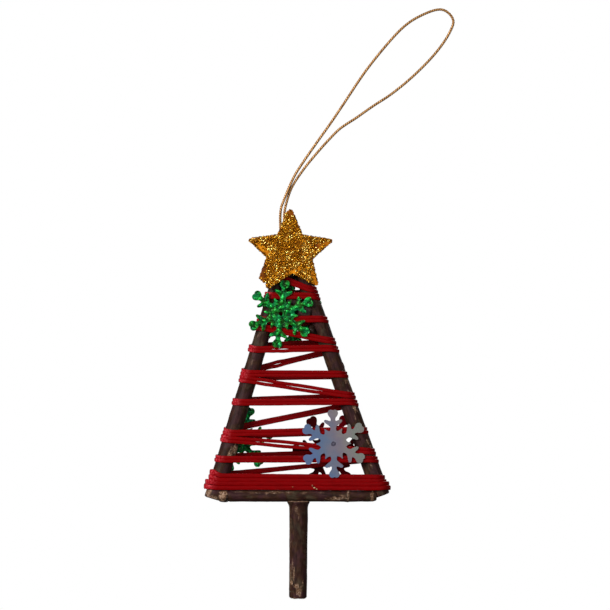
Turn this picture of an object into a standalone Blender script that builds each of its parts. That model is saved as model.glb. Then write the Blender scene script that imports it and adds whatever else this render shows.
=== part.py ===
"""A hanging Christmas tree ornament made of twigs, wound with doubled red cord.

Metres, +Z up, front towards -Y. The origin is the point where a hook bears under the top of the
gold loop, and the tree hangs below it and to the left, as it was laid out.
"""

from math import atan, cos, exp, pi, radians, sin

import bmesh
import bpy
from mathutils import Matrix, Vector
from mathutils.geometry import interpolate_bezier

MM = 0.001

# Room between two pieces that touch on the real thing, in mm
TOUCH_GAP = 0.25

# Twig frame, in mm. It hangs by its top, and the loop's route ends between the stars there
FRAME_TOP_DROP = 76.4
FRAME_WIDTH = 50.2
FRAME_HEIGHT = 69.0
FRAME_CENTRE_X = -42.7
APEX_OFFSET = -2.0
APEX_GAP = 0.85
LEFT_FOOT_DROP = 1.0
LEFT_TOP_RADIUS = 2.05
LEFT_FOOT_RADIUS = 2.75
RIGHT_FOOT_DROP = 0.05
RIGHT_TOP_RADIUS = 2.3
RIGHT_FOOT_RADIUS = 2.62
BASE_TWIG_RADIUS = 1.8
BASE_TWIG_FORWARD = 1.4
BASE_TWIG_LEFT_INSET = 1.2
BASE_TWIG_RIGHT_INSET = 1.45
TRUNK_OFFSET = 0.1
TRUNK_LENGTH = 28.65
TRUNK_TOP_RADIUS = 2.77
TRUNK_FOOT_RADIUS = 2.63
TRUNK_EDGE = 0.35
TWIG_SIDES = 12
TWIG_RINGS = 13

# Worked out from the values above
FRAME_TOP_Z = -FRAME_TOP_DROP
BASE_TWIG_Z = FRAME_TOP_Z - FRAME_HEIGHT
APEX_X = FRAME_CENTRE_X + APEX_OFFSET
APEX_SPACING = LEFT_TOP_RADIUS + RIGHT_TOP_RADIUS + APEX_GAP

# Doubled red cord, in mm. Each strand is drawn tight and lies flat
STRAND_WIDTH = 0.94
STRAND_THICKNESS = 0.55
STRAND_PITCH = 1.12
STRAND_SIDES = 6
WRAP_STEPS = 6

# Foam stars, in mm
STAR_THICKNESS = 1.8
STAR_RISE = 4.05
STAR_RADIUS = 12.9
STAR_NOTCH_RADIUS = 6.5
REAR_STAR_ASIDE = -0.4
REAR_STAR_RISE = 4.5
REAR_STAR_RADIUS = 12.2
REAR_STAR_NOTCH_RADIUS = 6.2

# Corners of the hand-cut stars. A tip has its direction in degrees, how much further out than the
# star's radius it lies and its blunt width, both as shares of that radius. A notch has its
# direction and how much further out it lies, as a share of the notch radius
FRONT_TIPS = (
    (15.2, -0.019, 0.047),
    (91, -0.039, 0.1),
    (164, 0.008, 0.031),
    (236.6, 0, 0.07),
    (308.5, -0.012, 0.047),
)
FRONT_NOTCHES = ((53.4, -0.077), (129, -0.015), (193, 0.138), (273.3, -0.015), (341, 0.031))
REAR_TIPS = ((15, 0, 0.066), (89, 0, 0.066), (164, 0, 0.066), (226, 0.008, 0.164), (304, 0, 0.066))
REAR_NOTCHES = ((52, -0.032), (126.5, -0.032), (195, 0.129), (265, 0), (339.5, 0))

# Snowflake sequins, in mm
FLAKE_THICKNESS = 0.4
FLAKE_RADIUS = 10.2
RED_FLAKE_RADIUS = 11.1
FLAKE_STUMP = 0.53
FLAKE_HOLE_RADIUS = 0.45
FLAKE_HOLE_SIDES = 8

# Gold cord, in mm
LOOP_DIAMETER = 0.8
LOOP_POINTS = 80

# Centres of the doubled cord where it crosses the front of the left and then of the right twig,
# and the back of the right and then of the left twig. Shares of FRAME_HEIGHT above the base twig.
WINDING = (
    (0.949, 0.900, 0.894, 0.887),
    (0.869, 0.868, 0.855, 0.774),
    (0.763, 0.768, 0.758, 0.737),
    (0.730, 0.676, 0.664, 0.649),
    (0.635, 0.641, 0.626, 0.544),
    (0.531, 0.524, 0.516, 0.508),
    (0.499, 0.440, 0.428, 0.412),
    (0.406, 0.408, 0.392, 0.291),
    (0.272, 0.286, 0.279, 0.258),
    (0.240, 0.195, 0.185, 0.167),
    (0.159, 0.160, 0.152, 0.087),
    (0.073, 0.071, 0.063, 0.053),
    (0.040, 0.036, 0.032, 0.030),
)

# The gold loop's route from its glued end between the stars, over its top and back, in mm
LOOP_ROUTE = (
    (-47.6, 0.0, -71.3),
    (-47.9, 0.0, -64.5),
    (-47.8, -0.2, -60.0),
    (-46.9, -0.3, -57.0),
    (-44.0, -0.3, -50.2),
    (-40.9, -0.2, -45.2),
    (-36.8, 0.0, -39.3),
    (-32.6, 0.2, -33.4),
    (-28.9, 0.3, -27.9),
    (-22.1, 0.3, -17.8),
    (-14.6, 0.1, -8.6),
    (-9.5, 0.0, -3.7),
    (-4.1, 0.0, -0.7),
    (0.0, 0.0, 0.4),
    (2.6, 0.0, -0.7),
    (4.0, 0.0, -3.1),
    (3.1, 0.0, -6.1),
    (0.6, 0.0, -10.2),
    (-3.2, -0.2, -14.8),
    (-8.7, -0.3, -20.2),
    (-14.6, -0.3, -25.0),
    (-20.1, -0.1, -28.6),
    (-25.1, 0.0, -32.1),
    (-29.8, 0.2, -35.2),
    (-33.1, 0.3, -38.4),
    (-37.3, 0.3, -43.1),
    (-41.1, 0.3, -47.8),
    (-44.3, 0.3, -52.7),
    (-45.9, 0.3, -57.0),
    (-46.7, 0.2, -61.0),
    (-46.6, 0.0, -65.5),
    (-46.0, 0.0, -71.3),
)


def clear_scene():
    for item in list(bpy.data.objects):
        bpy.data.objects.remove(item, do_unlink=True)


def finish(name, colour, roughness, metallic=0.0, coat=0.0):
    """A Principled material."""
    material = bpy.data.materials.new(name)
    material.use_nodes = True
    shader = material.node_tree.nodes["Principled BSDF"]
    shader.inputs["Base Color"].default_value = (*colour, 1.0)
    shader.inputs["Roughness"].default_value = roughness
    shader.inputs["Metallic"].default_value = metallic
    shader.inputs["Coat Weight"].default_value = coat
    return material


def bark():
    return finish("bark", (0.045, 0.026, 0.018), 0.75)


def red_cord():
    return finish("red cord", (0.30, 0.002, 0.006), 0.30, coat=0.3)


def gold_glitter():
    return finish("gold glitter foam", (0.42, 0.19, 0.02), 0.35, metallic=0.7)


def gold_thread():
    return finish("gold thread", (0.48, 0.27, 0.07), 0.35, metallic=0.9)


def foil(name, colour):
    return finish(name, colour, 0.28, metallic=0.6)


def add_object(name, mesh, material):
    mesh.materials.append(material)
    item = bpy.data.objects.new(name, mesh)
    bpy.context.scene.collection.objects.link(item)
    return item


def line_point(start, end, share):
    return tuple(a + (b - a) * share for a, b in zip(start, end))


def side_twig(top_x, foot_x, foot_drop, top_radius, foot_radius, knots):
    """One leaning twig as plain values: its two ends, its two radii and its knots."""
    return {
        "top": (top_x, 0.0, FRAME_TOP_Z),
        "foot": (foot_x, 0.0, BASE_TWIG_Z - foot_drop),
        "top_radius": top_radius,
        "foot_radius": foot_radius,
        "knots": knots,
    }


def twig_radius(twig, share):
    """Bare radius at a share of the length, 0 at the top and 1 at the foot."""
    return twig["top_radius"] + (twig["foot_radius"] - twig["top_radius"]) * share


def knot_height(twig, share, angle):
    """How far the knots lift the bark at this place."""
    lift = 0.0
    for knot in twig["knots"]:
        along = exp(-(((share - knot["share"]) / knot["spread"]) ** 2))
        lift += knot["height"] * along * max(0.0, cos(angle - knot["angle"])) ** 2
    return lift


def twig_mesh(name, twig, extra=0.0, edge=0.0):
    """Rings of points along the twig's straight axis, closed by a flat face at each end."""
    top = Vector(twig["top"])
    foot = Vector(twig["foot"])
    along = (foot - top).normalized()
    forward = Vector((0.0, -1.0, 0.0))
    sideways = along.cross(forward).normalized()
    length = (foot - top).length
    shares = [i / (TWIG_RINGS - 1) for i in range(TWIG_RINGS)]
    if edge:
        shares = [0.0, edge / length] + shares[1:-1] + [1.0 - edge / length, 1.0]
    work = bmesh.new()
    rings = []
    for share in shares:
        at_end = share in (0.0, 1.0)
        inset = edge if at_end else 0.0
        ring = []
        for i in range(TWIG_SIDES):
            angle = 2 * pi * i / TWIG_SIDES
            reach = twig_radius(twig, share) + knot_height(twig, share, angle) + extra - inset
            spoke = sideways * cos(angle) + forward * sin(angle)
            ring.append(work.verts.new((top + along * (length * share) + spoke * reach) * MM))
        rings.append(ring)
    for upper, lower in zip(rings, rings[1:]):
        for i in range(TWIG_SIDES):
            j = (i + 1) % TWIG_SIDES
            work.faces.new((upper[i], upper[j], lower[j], lower[i]))
    work.faces.new(rings[0][::-1])
    work.faces.new(rings[-1])
    bmesh.ops.recalc_face_normals(work, faces=work.faces)
    mesh = bpy.data.meshes.new(name)
    work.to_mesh(mesh)
    work.free()
    mesh.shade_smooth()
    mesh.set_sharp_from_angle(angle=radians(50))
    return mesh


def x_at(twig, z):
    """The axis of a leaning twig at a height."""
    share = (twig["top"][2] - z) / (twig["top"][2] - twig["foot"][2])
    return line_point(twig["top"], twig["foot"], share)[0], share


def grown_past_foot(twig, extra):
    """The same twig, longer by extra past its foot and tapered as before."""
    share = 1.0 + extra / (Vector(twig["foot"]) - Vector(twig["top"])).length
    return {
        "top": twig["top"],
        "foot": line_point(twig["top"], twig["foot"], share),
        "top_radius": twig["top_radius"],
        "foot_radius": twig_radius(twig, share),
        "knots": [{**knot, "share": knot["share"] / share} for knot in twig["knots"]],
    }


def base_twig(left, right):
    """The horizontal twig, cut hollow at both ends where it meets the side twigs.

    The left twig's foot hangs lower, so the hollow for it goes right through.
    """
    low_x = x_at(left, BASE_TWIG_Z)[0] + BASE_TWIG_LEFT_INSET
    high_x = x_at(right, BASE_TWIG_Z)[0] - BASE_TWIG_RIGHT_INSET
    middle = -BASE_TWIG_FORWARD
    twig = {
        "top": (high_x, middle, BASE_TWIG_Z),
        "foot": (low_x, middle, BASE_TWIG_Z),
        "top_radius": BASE_TWIG_RADIUS,
        "foot_radius": BASE_TWIG_RADIUS,
        "knots": [
            {"share": 0.19, "angle": radians(20), "height": 0.3, "spread": 0.03},
            {"share": 0.96, "angle": radians(40), "height": 0.25, "spread": 0.05},
        ],
    }
    item = add_object("twig_base", twig_mesh("twig_base", twig), bark())
    for side, neighbour in (("left", grown_past_foot(left, 2 * BASE_TWIG_RADIUS)), ("right", right)):
        cutter_name = "cutter_" + side
        cutter_mesh = twig_mesh(cutter_name, neighbour, extra=TOUCH_GAP)
        cutter = bpy.data.objects.new(cutter_name, cutter_mesh)
        bpy.context.scene.collection.objects.link(cutter)
        cutter.hide_render = True
        cutter.display_type = "WIRE"
        cut = item.modifiers.new("saddle " + side, "BOOLEAN")
        cut.operation = "DIFFERENCE"
        cut.object = cutter
    return item


def trunk():
    """The trunk stands square under the base twig and is sawn flat at its foot."""
    x = FRAME_CENTRE_X + TRUNK_OFFSET
    top_z = BASE_TWIG_Z - BASE_TWIG_RADIUS - TOUCH_GAP
    twig = {
        "top": (x, -BASE_TWIG_FORWARD, top_z),
        "foot": (x, -BASE_TWIG_FORWARD, top_z - TRUNK_LENGTH),
        "top_radius": TRUNK_TOP_RADIUS,
        "foot_radius": TRUNK_FOOT_RADIUS,
        "knots": [{"share": 0.82, "angle": radians(120), "height": 0.15, "spread": 0.06}],
    }
    return add_object("trunk_twig", twig_mesh("trunk_twig", twig, edge=TRUNK_EDGE), bark())


def strand_route(left, right, shift):
    """Round the outside of each side twig, and straight across between them, front and back.

    Each step is a point and the direction away from the twig there.
    """
    clear = TOUCH_GAP + STRAND_THICKNESS / 2
    steps = []

    def crossing(twig, height, angle):
        z = BASE_TWIG_Z + FRAME_HEIGHT * height + shift
        x, share = x_at(twig, z)
        rise = twig["top"][2] - twig["foot"][2]
        lean = atan(abs(twig["foot"][0] - twig["top"][0]) / rise)
        reach = twig_radius(twig, share) + clear
        point = Vector((x + reach / cos(lean) * cos(angle), reach * sin(angle), z))
        steps.append((point, Vector((cos(angle), sin(angle), 0.0))))

    for turn, (front_left, front_right, back_right, back_left) in enumerate(WINDING):
        if turn == 0:
            crossing(left, front_left, -pi / 2)
        for i in range(WRAP_STEPS + 1):
            share = i / WRAP_STEPS
            crossing(right, front_right + (back_right - front_right) * share, pi * (share - 0.5))
        if turn == len(WINDING) - 1:
            break
        next_left = WINDING[turn + 1][0]
        for i in range(WRAP_STEPS + 1):
            share = i / WRAP_STEPS
            crossing(left, back_left + (next_left - back_left) * share, pi * (share + 0.5))
    return steps


def strand(name, steps, material):
    """A flat closed tube along the route, its broad faces towards and away from the twigs."""
    points = [point for point, _ in steps]
    before = [points[0]] + points[:-1]
    after = points[1:] + [points[-1]]
    half_width = STRAND_WIDTH / 2
    half_thickness = STRAND_THICKNESS / 2 / cos(pi / STRAND_SIDES)
    work = bmesh.new()
    rings = []
    for (point, away), start, end in zip(steps, before, after):
        along = (end - start).normalized()
        out = (away - along * away.dot(along)).normalized()
        beside = along.cross(out)
        ring = []
        for i in range(STRAND_SIDES):
            angle = 2 * pi * (i + 0.5) / STRAND_SIDES
            spot = point + out * half_thickness * cos(angle) + beside * half_width * sin(angle)
            ring.append(work.verts.new(spot * MM))
        rings.append(ring)
    for first, second in zip(rings, rings[1:]):
        for i in range(STRAND_SIDES):
            j = (i + 1) % STRAND_SIDES
            work.faces.new((first[i], first[j], second[j], second[i]))
    work.faces.new(rings[0][::-1])
    work.faces.new(rings[-1])
    bmesh.ops.recalc_face_normals(work, faces=work.faces)
    mesh = bpy.data.meshes.new(name)
    work.to_mesh(mesh)
    work.free()
    mesh.shade_smooth()
    return add_object(name, mesh, material)


def tube(name, points, diameter, resolution, material):
    """A closed round tube through the points, in mm."""
    data = bpy.data.curves.new(name, "CURVE")
    data.dimensions = "3D"
    data.bevel_depth = diameter / 2 * MM
    data.bevel_resolution = resolution
    data.use_fill_caps = True
    line = data.splines.new("POLY")
    line.points.add(len(points) - 1)
    for place, point in zip(line.points, points):
        place.co = (*(Vector(point) * MM), 1.0)
    line.use_smooth = True
    data.materials.append(material)
    item = bpy.data.objects.new(name, data)
    bpy.context.scene.collection.objects.link(item)
    return item


def winding(left, right):
    for name, side in (("winding_strand_upper", 1), ("winding_strand_lower", -1)):
        strand(name, strand_route(left, right, side * STRAND_PITCH / 2), red_cord())


def extruded(name, outline, hole, thickness):
    """A flat plate in the XZ plane, from its back face at y = 0 forward to y = -thickness."""
    data = bpy.data.curves.new(name, "CURVE")
    data.dimensions = "2D"
    data.fill_mode = "BOTH"
    data.extrude = thickness / 2 * MM
    for loop in filter(None, (outline, hole)):
        line = data.splines.new("POLY")
        line.points.add(len(loop) - 1)
        for place, (x, z) in zip(line.points, loop):
            place.co = (x * MM, z * MM, 0.0, 1.0)
        line.use_cyclic_u = True
    flat = bpy.data.objects.new(name, data)
    mesh = bpy.data.meshes.new_from_object(flat)
    bpy.data.objects.remove(flat)
    bpy.data.curves.remove(data)
    work = bmesh.new()
    work.from_mesh(mesh)
    bmesh.ops.remove_doubles(work, verts=work.verts, dist=1e-6)
    bmesh.ops.recalc_face_normals(work, faces=work.faces)
    work.to_mesh(mesh)
    work.free()
    mesh.name = name
    mesh.transform(Matrix.Rotation(pi / 2, 4, "X"))
    mesh.transform(Matrix.Translation((0.0, -thickness / 2 * MM, 0.0)))
    return mesh


def star_outline(radius, notch_radius, tips, notches):
    """Blunt tips with a notch after each, all given by a direction and a reach."""
    outline = []
    for (degrees, further, width), (notch_degrees, notch_further) in zip(tips, notches):
        angle = radians(degrees)
        reach = radius * (1 + further)
        for side in (-radius * width / 2, radius * width / 2):
            x = reach * cos(angle) - side * sin(angle)
            outline.append((x, reach * sin(angle) + side * cos(angle)))
        notch = radians(notch_degrees)
        notch_reach = notch_radius * (1 + notch_further)
        outline.append((notch_reach * cos(notch), notch_reach * sin(notch)))
    return outline


def stars(left, right):
    """The front star lies on the cord, and the rear one against the back of the twigs."""
    thickest = max(left["top_radius"], right["top_radius"])
    front_y = -(thickest + STRAND_THICKNESS + 3 * TOUCH_GAP)
    back_y = thickest + 2 * TOUCH_GAP + STAR_THICKNESS
    front_outline = star_outline(STAR_RADIUS, STAR_NOTCH_RADIUS, FRONT_TIPS, FRONT_NOTCHES)
    front_mesh = extruded("star_front", front_outline, None, STAR_THICKNESS)
    front = add_object("star_front", front_mesh, gold_glitter())
    front.location = (APEX_X * MM, front_y * MM, (FRAME_TOP_Z + STAR_RISE) * MM)
    rear_outline = star_outline(REAR_STAR_RADIUS, REAR_STAR_NOTCH_RADIUS, REAR_TIPS, REAR_NOTCHES)
    rear_mesh = extruded("star_rear", rear_outline, None, STAR_THICKNESS)
    rear = add_object("star_rear", rear_mesh, gold_glitter())
    rear_x = APEX_X + REAR_STAR_ASIDE
    rear.location = (rear_x * MM, back_y * MM, (FRAME_TOP_Z + REAR_STAR_RISE) * MM)


def flake_outline(radius, arms):
    """Arms with a lobe and two barbs each, and a short barb between every two arms.

    Each pair is a reach along the arm and an offset to its side, as shares of the radius. The
    first half of a sector is mirrored to make the second. Past the given number of arms the
    rest of the six are snipped off at FLAKE_STUMP.
    """
    half_arm = (
        (1.0, 0.06),
        (0.96, 0.14),
        (0.90, 0.155),
        (0.80, 0.07),
        (0.66, 0.07),
        (0.705, 0.25),
        (0.65, 0.26),
        (0.52, 0.075),
        (0.38, 0.08),
        (0.43, 0.24),
    )
    sector = [(along, -side) for along, side in half_arm[::-1][1:]] + list(half_arm)
    outline = []
    for i in range(6):
        angle = i * pi / 3
        for along, side in sector:
            if i >= arms and along > FLAKE_STUMP:
                continue
            x = along * cos(angle) - side * sin(angle)
            outline.append((radius * x, radius * (along * sin(angle) + side * cos(angle))))
    return outline


def flake_hole():
    turns = [2 * pi * i / FLAKE_HOLE_SIDES for i in range(FLAKE_HOLE_SIDES)]
    return [(FLAKE_HOLE_RADIUS * cos(a), FLAKE_HOLE_RADIUS * sin(a)) for a in turns]


def snowflake(name, radius, x, z, back_y, degrees, arms, material):
    """A sequin in front of back_y, its first arm turned by the angle from +X."""
    mesh = extruded(name, flake_outline(radius, arms), flake_hole(), FLAKE_THICKNESS)
    item = add_object(name, mesh, material)
    item.location = (x * MM, back_y * MM, z * MM)
    item.rotation_euler = (0.0, -radians(degrees), 0.0)
    return item


def snowflakes(left, right):
    """Sequins glued on the cord where it crosses the twigs, two in front and three behind.

    Each is given by its radius, its twig, its height as a share of the frame's, how far its centre
    lies to the right of the twig's axis as a share of its radius, its side, its turn and the number
    of whole arms.
    """
    green = foil("green foil", (0.01, 0.27, 0.06))
    silver = foil("silver foil", (0.30, 0.33, 0.40))
    red = foil("red foil", (0.12, 0.004, 0.01))
    over = STRAND_THICKNESS + 3 * TOUCH_GAP

    for name, radius, twig, height, aside, side, degrees, arms, material in (
        ("snowflake_green_front", FLAKE_RADIUS, left, 0.790, 0.387, -1, 83.0, 6, green),
        ("snowflake_silver_front", FLAKE_RADIUS, right, 0.2273, -0.858, -1, 91.5, 6, silver),
        ("snowflake_green_rear_upper", FLAKE_RADIUS, left, 0.7707, 0.729, 1, 212.9, 5, green),
        ("snowflake_green_rear_lower", FLAKE_RADIUS, left, 0.242, 0.230, 1, 250.0, 4, green),
        ("snowflake_red_rear", RED_FLAKE_RADIUS, right, 0.200, -0.977, 1, 60.0, 6, red),
    ):
        z = BASE_TWIG_Z + FRAME_HEIGHT * height
        x = x_at(twig, z)[0] + radius * aside
        thickest = twig_radius(twig, x_at(twig, z - radius)[1])
        face = side * (thickest + over)
        back_y = face if side < 0 else face + FLAKE_THICKNESS
        snowflake(name, radius, x, z, back_y, degrees, arms, material)


def smooth_route(route, count):
    """Evenly spaced points on one smooth curve through the route's points."""
    knots = [Vector(point) for point in route]
    padded = [knots[0] * 2 - knots[1]] + knots + [knots[-1] * 2 - knots[-2]]
    fine = []
    for before, start, end, after in zip(padded, padded[1:], padded[2:], padded[3:]):
        handle_out = start + (end - before) / 6
        handle_in = end - (after - start) / 6
        fine += interpolate_bezier(start, handle_out, handle_in, end, 40)[:-1]
    fine.append(knots[-1])
    steps = [(b - a).length for a, b in zip(fine, fine[1:])]
    total = sum(steps)
    even = [fine[0]]
    walked = 0.0
    for start, end, step in zip(fine, fine[1:], steps):
        while len(even) < count - 1 and walked + step >= total * len(even) / (count - 1):
            even.append(start.lerp(end, (total * len(even) / (count - 1) - walked) / step))
        walked += step
    return even + [fine[-1]]


def hanging_loop():
    points = smooth_route(LOOP_ROUTE, LOOP_POINTS)
    return tube("hanging_loop", points, LOOP_DIAMETER, 2, gold_thread())


def main():
    clear_scene()
    left = side_twig(
        APEX_X - APEX_SPACING / 2, FRAME_CENTRE_X - FRAME_WIDTH / 2,
        LEFT_FOOT_DROP, LEFT_TOP_RADIUS, LEFT_FOOT_RADIUS,
        [{"share": 0.81, "angle": radians(60), "height": 0.12, "spread": 0.02}],
    )
    right = side_twig(
        APEX_X + APEX_SPACING / 2, FRAME_CENTRE_X + FRAME_WIDTH / 2,
        RIGHT_FOOT_DROP, RIGHT_TOP_RADIUS, RIGHT_FOOT_RADIUS,
        [{"share": 0.465, "angle": radians(160), "height": 0.2, "spread": 0.015}],
    )
    add_object("twig_left", twig_mesh("twig_left", left), bark())
    add_object("twig_right", twig_mesh("twig_right", right), bark())
    base_twig(left, right)
    trunk()
    winding(left, right)
    stars(left, right)
    snowflakes(left, right)
    hanging_loop()


main()
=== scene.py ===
import math

import bpy
import numpy as np
from mathutils.geometry import delaunay_2d_cdt
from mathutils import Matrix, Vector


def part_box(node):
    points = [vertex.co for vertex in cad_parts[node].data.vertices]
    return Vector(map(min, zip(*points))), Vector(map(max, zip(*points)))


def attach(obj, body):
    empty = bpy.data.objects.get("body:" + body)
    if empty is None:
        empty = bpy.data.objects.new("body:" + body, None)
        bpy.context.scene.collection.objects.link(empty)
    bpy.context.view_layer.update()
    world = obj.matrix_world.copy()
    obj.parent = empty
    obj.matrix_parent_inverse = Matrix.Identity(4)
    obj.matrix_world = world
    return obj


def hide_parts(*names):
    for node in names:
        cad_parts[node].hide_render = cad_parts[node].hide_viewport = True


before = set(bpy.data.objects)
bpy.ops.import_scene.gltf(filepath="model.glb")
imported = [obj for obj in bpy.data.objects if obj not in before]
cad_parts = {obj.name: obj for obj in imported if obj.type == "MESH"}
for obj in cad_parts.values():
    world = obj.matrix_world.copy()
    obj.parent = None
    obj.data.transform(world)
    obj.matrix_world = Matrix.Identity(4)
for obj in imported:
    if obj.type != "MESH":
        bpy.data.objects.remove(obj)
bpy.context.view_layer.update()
mm = 0.001
print("frame loaded:", len(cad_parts), "nodes")


# Colours are sRGB hex, turned to the linear values that Blender's sockets take
def linearColour(hexText):
    channels = np.array([int(hexText[i:i + 2], 16) for i in (1, 3, 5)]) / 255
    linear = np.where(channels <= 0.04045, channels / 12.92, ((channels + 0.055) / 1.055) ** 2.4)
    return (*linear.tolist(), 1.0)


# Fixed values and links for a node's inputs. A link is a (node, output) pair
def setInputs(material, node, inputs):
    for key, value in inputs.items():
        if isinstance(value, tuple) and isinstance(value[0], bpy.types.Node):
            material.node_tree.links.new(value[0].outputs[value[1]], node.inputs[key])
        else:
            node.inputs[key].default_value = value


# One node with its settings, its inputs and the stops of its colour ramp
def addNode(material, kind, settings=None, inputs=None, ramp=None):
    node = material.node_tree.nodes.new(kind)
    for key, value in (settings or {}).items():
        setattr(node, key, value)
    setInputs(material, node, inputs or {})
    if ramp:
        stops = node.color_ramp.elements
        while len(stops) < len(ramp):
            stops.new(1.0)
        for stop, (place, colour) in zip(stops, ramp):
            stop.position = place
            stop.color = linearColour(colour)
    return node


# New node material and its Principled shader
def newMaterial(name):
    material = bpy.data.materials.new(name)
    material.use_nodes = True
    return material, material.node_tree.nodes["Principled BSDF"]


# Smooth value noise from -1 to 1: random heights on a cubic lattice, eased between its corners
def smoothNoise(points, seed):
    cell = np.floor(points).astype(np.int64)
    part = points - cell
    part = part * part * (3 - 2 * part)
    total = np.zeros(len(points))
    for corner in range(8):
        step = np.array([(corner >> k) & 1 for k in range(3)])
        at = cell + step
        code = at[:, 0] * 73856093 ^ at[:, 1] * 19349663 ^ at[:, 2] * 83492791 ^ seed * 2654435761
        code = (code ^ (code >> 13)) * 1274126177 & 0x7FFFFFFF
        weight = np.prod(np.where(step == 1, part, 1 - part), axis=1)
        total += weight * ((code ^ (code >> 16)) % 65536) / 65535
    return total * 2 - 1


# Noise at several sizes added up, each half as high and twice as fine as the one before
def roughNoise(points, seed, layers):
    return sum(smoothNoise(points * 2 ** k, seed + k) / 2 ** k for k in range(layers))


# A mesh from points in mm and arrays of faces, turned outwards if its volume comes out negative
def makePiece(name, points, faces, marks=None, smooth=True):
    halves = [face[:, :3] for face in faces] + [face[:, [0, 2, 3]] for face in faces if face.shape[1] == 4]
    triangles = points[np.concatenate(halves)]
    volume = np.einsum("ij,ij->i", triangles[:, 0], np.cross(triangles[:, 1], triangles[:, 2])).sum()
    if volume < 0:
        faces = [face[:, ::-1] for face in faces]
    corners = np.concatenate([face.ravel() for face in faces]).astype(np.int32)
    counts = np.concatenate([np.full(len(face), face.shape[1]) for face in faces])
    mesh = bpy.data.meshes.new(name)
    mesh.vertices.add(len(points))
    mesh.vertices.foreach_set("co", (points * mm).astype(np.float32).ravel())
    mesh.loops.add(len(corners))
    mesh.loops.foreach_set("vertex_index", corners)
    mesh.polygons.add(len(counts))
    mesh.polygons.foreach_set("loop_start", (np.cumsum(counts) - counts).astype(np.int32))
    mesh.update(calc_edges=True)
    for mark, values in (marks or {}).items():
        kind = "FLOAT" if values.ndim == 1 else "FLOAT_VECTOR"
        layer = mesh.attributes.new(mark, kind, "POINT")
        layer.data.foreach_set("value" if values.ndim == 1 else "vector", values.astype(np.float32).ravel())
    if smooth:
        mesh.shade_smooth()
    piece = bpy.data.objects.new(name, mesh)
    bpy.context.scene.collection.objects.link(piece)
    return piece


# Every piece rides on the one body. Most take the place of a solid, which is hidden
def finishPiece(piece, material, node=None):
    piece.data.materials.append(material)
    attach(piece, "root")
    if node:
        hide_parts(node)


# Faces of a closed tube made of rings, with one extra point at each end
def tubeFaces(ringCount, sideCount):
    ring = np.arange(ringCount - 1)[:, None] * sideCount
    side = np.arange(sideCount)[None, :]
    after = (side + 1) % sideCount
    walls = np.stack([ring + side, ring + after, ring + sideCount + after, ring + sideCount + side], -1)
    startPole = ringCount * sideCount
    last = (ringCount - 1) * sideCount
    around = np.arange(sideCount)
    following = (around + 1) % sideCount
    startCap = np.stack([np.full(sideCount, startPole), following, around], -1)
    endCap = np.stack([np.full(sideCount, startPole + 1), last + around, last + following], -1)
    return [walls.reshape(-1, 4), np.concatenate([startCap, endCap])]


# Points at even steps along a smooth curve through the route (a Catmull-Rom curve, then resampled)
def evenPath(route, step, fine=24):
    knots = np.array(route, float)
    knots = np.concatenate([2 * knots[:1] - knots[1:2], knots, 2 * knots[-1:] - knots[-2:-1]])
    t = (np.arange(fine) / fine)[None, :, None]
    a, b, c, d = (knots[i:len(knots) - 3 + i][:, None, :] for i in range(4))
    curve = 2 * b + (c - a) * t + (2 * a - 5 * b + 4 * c - d) * t ** 2 + (3 * b - a - 3 * c + d) * t ** 3
    curve *= 0.5
    return resample(np.concatenate([curve.reshape(-1, 3), knots[-2:-1]]), step)


# The same line with its points at even steps. Further columns are carried along
def resample(points, step):
    walked = np.concatenate([[0], np.cumsum(np.linalg.norm(np.diff(points[:, :3], axis=0), axis=1))])
    count = int(round(walked[-1] / step)) + 1
    places = np.linspace(0, walked[-1], count)
    return np.stack([np.interp(places, walked, column) for column in points.T], -1)


# Two directions square to a path, the first also square to the given fixed direction
def pathFrame(path, fixed):
    along = np.gradient(path, axis=0)
    along /= np.linalg.norm(along, axis=1)[:, None]
    side = np.cross(along, np.array(fixed, float))
    side /= np.linalg.norm(side, axis=1)[:, None]
    return side, np.cross(side, along)


# Camera: straight at the front, one metre away. A pixel is 0.30 mm at the ornament
camera = {
    "pixelMm": 0.30,
    "imagePixels": 610,
    "originPixelX": 440.0,
    "originPixelY": 10.8,
    "distance": 1.0,
    "sensorMm": 36.0,
}
fieldWidth = camera["pixelMm"] * camera["imagePixels"]
cameraData = bpy.data.cameras.new("camera")
cameraData.sensor_width = camera["sensorMm"]
cameraData.lens = camera["sensorMm"] * camera["distance"] / (fieldWidth * mm)
cameraObject = bpy.data.objects.new("camera", cameraData)
bpy.context.scene.collection.objects.link(cameraObject)
cameraObject.location = (
    (camera["imagePixels"] / 2 - camera["originPixelX"]) * camera["pixelMm"] * mm,
    -camera["distance"],
    (camera["originPixelY"] - camera["imagePixels"] / 2) * camera["pixelMm"] * mm,
)
cameraObject.rotation_euler = (math.pi / 2, 0, 0)
bpy.context.scene.camera = cameraObject
bpy.context.scene.view_settings.view_transform = "Standard"


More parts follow.
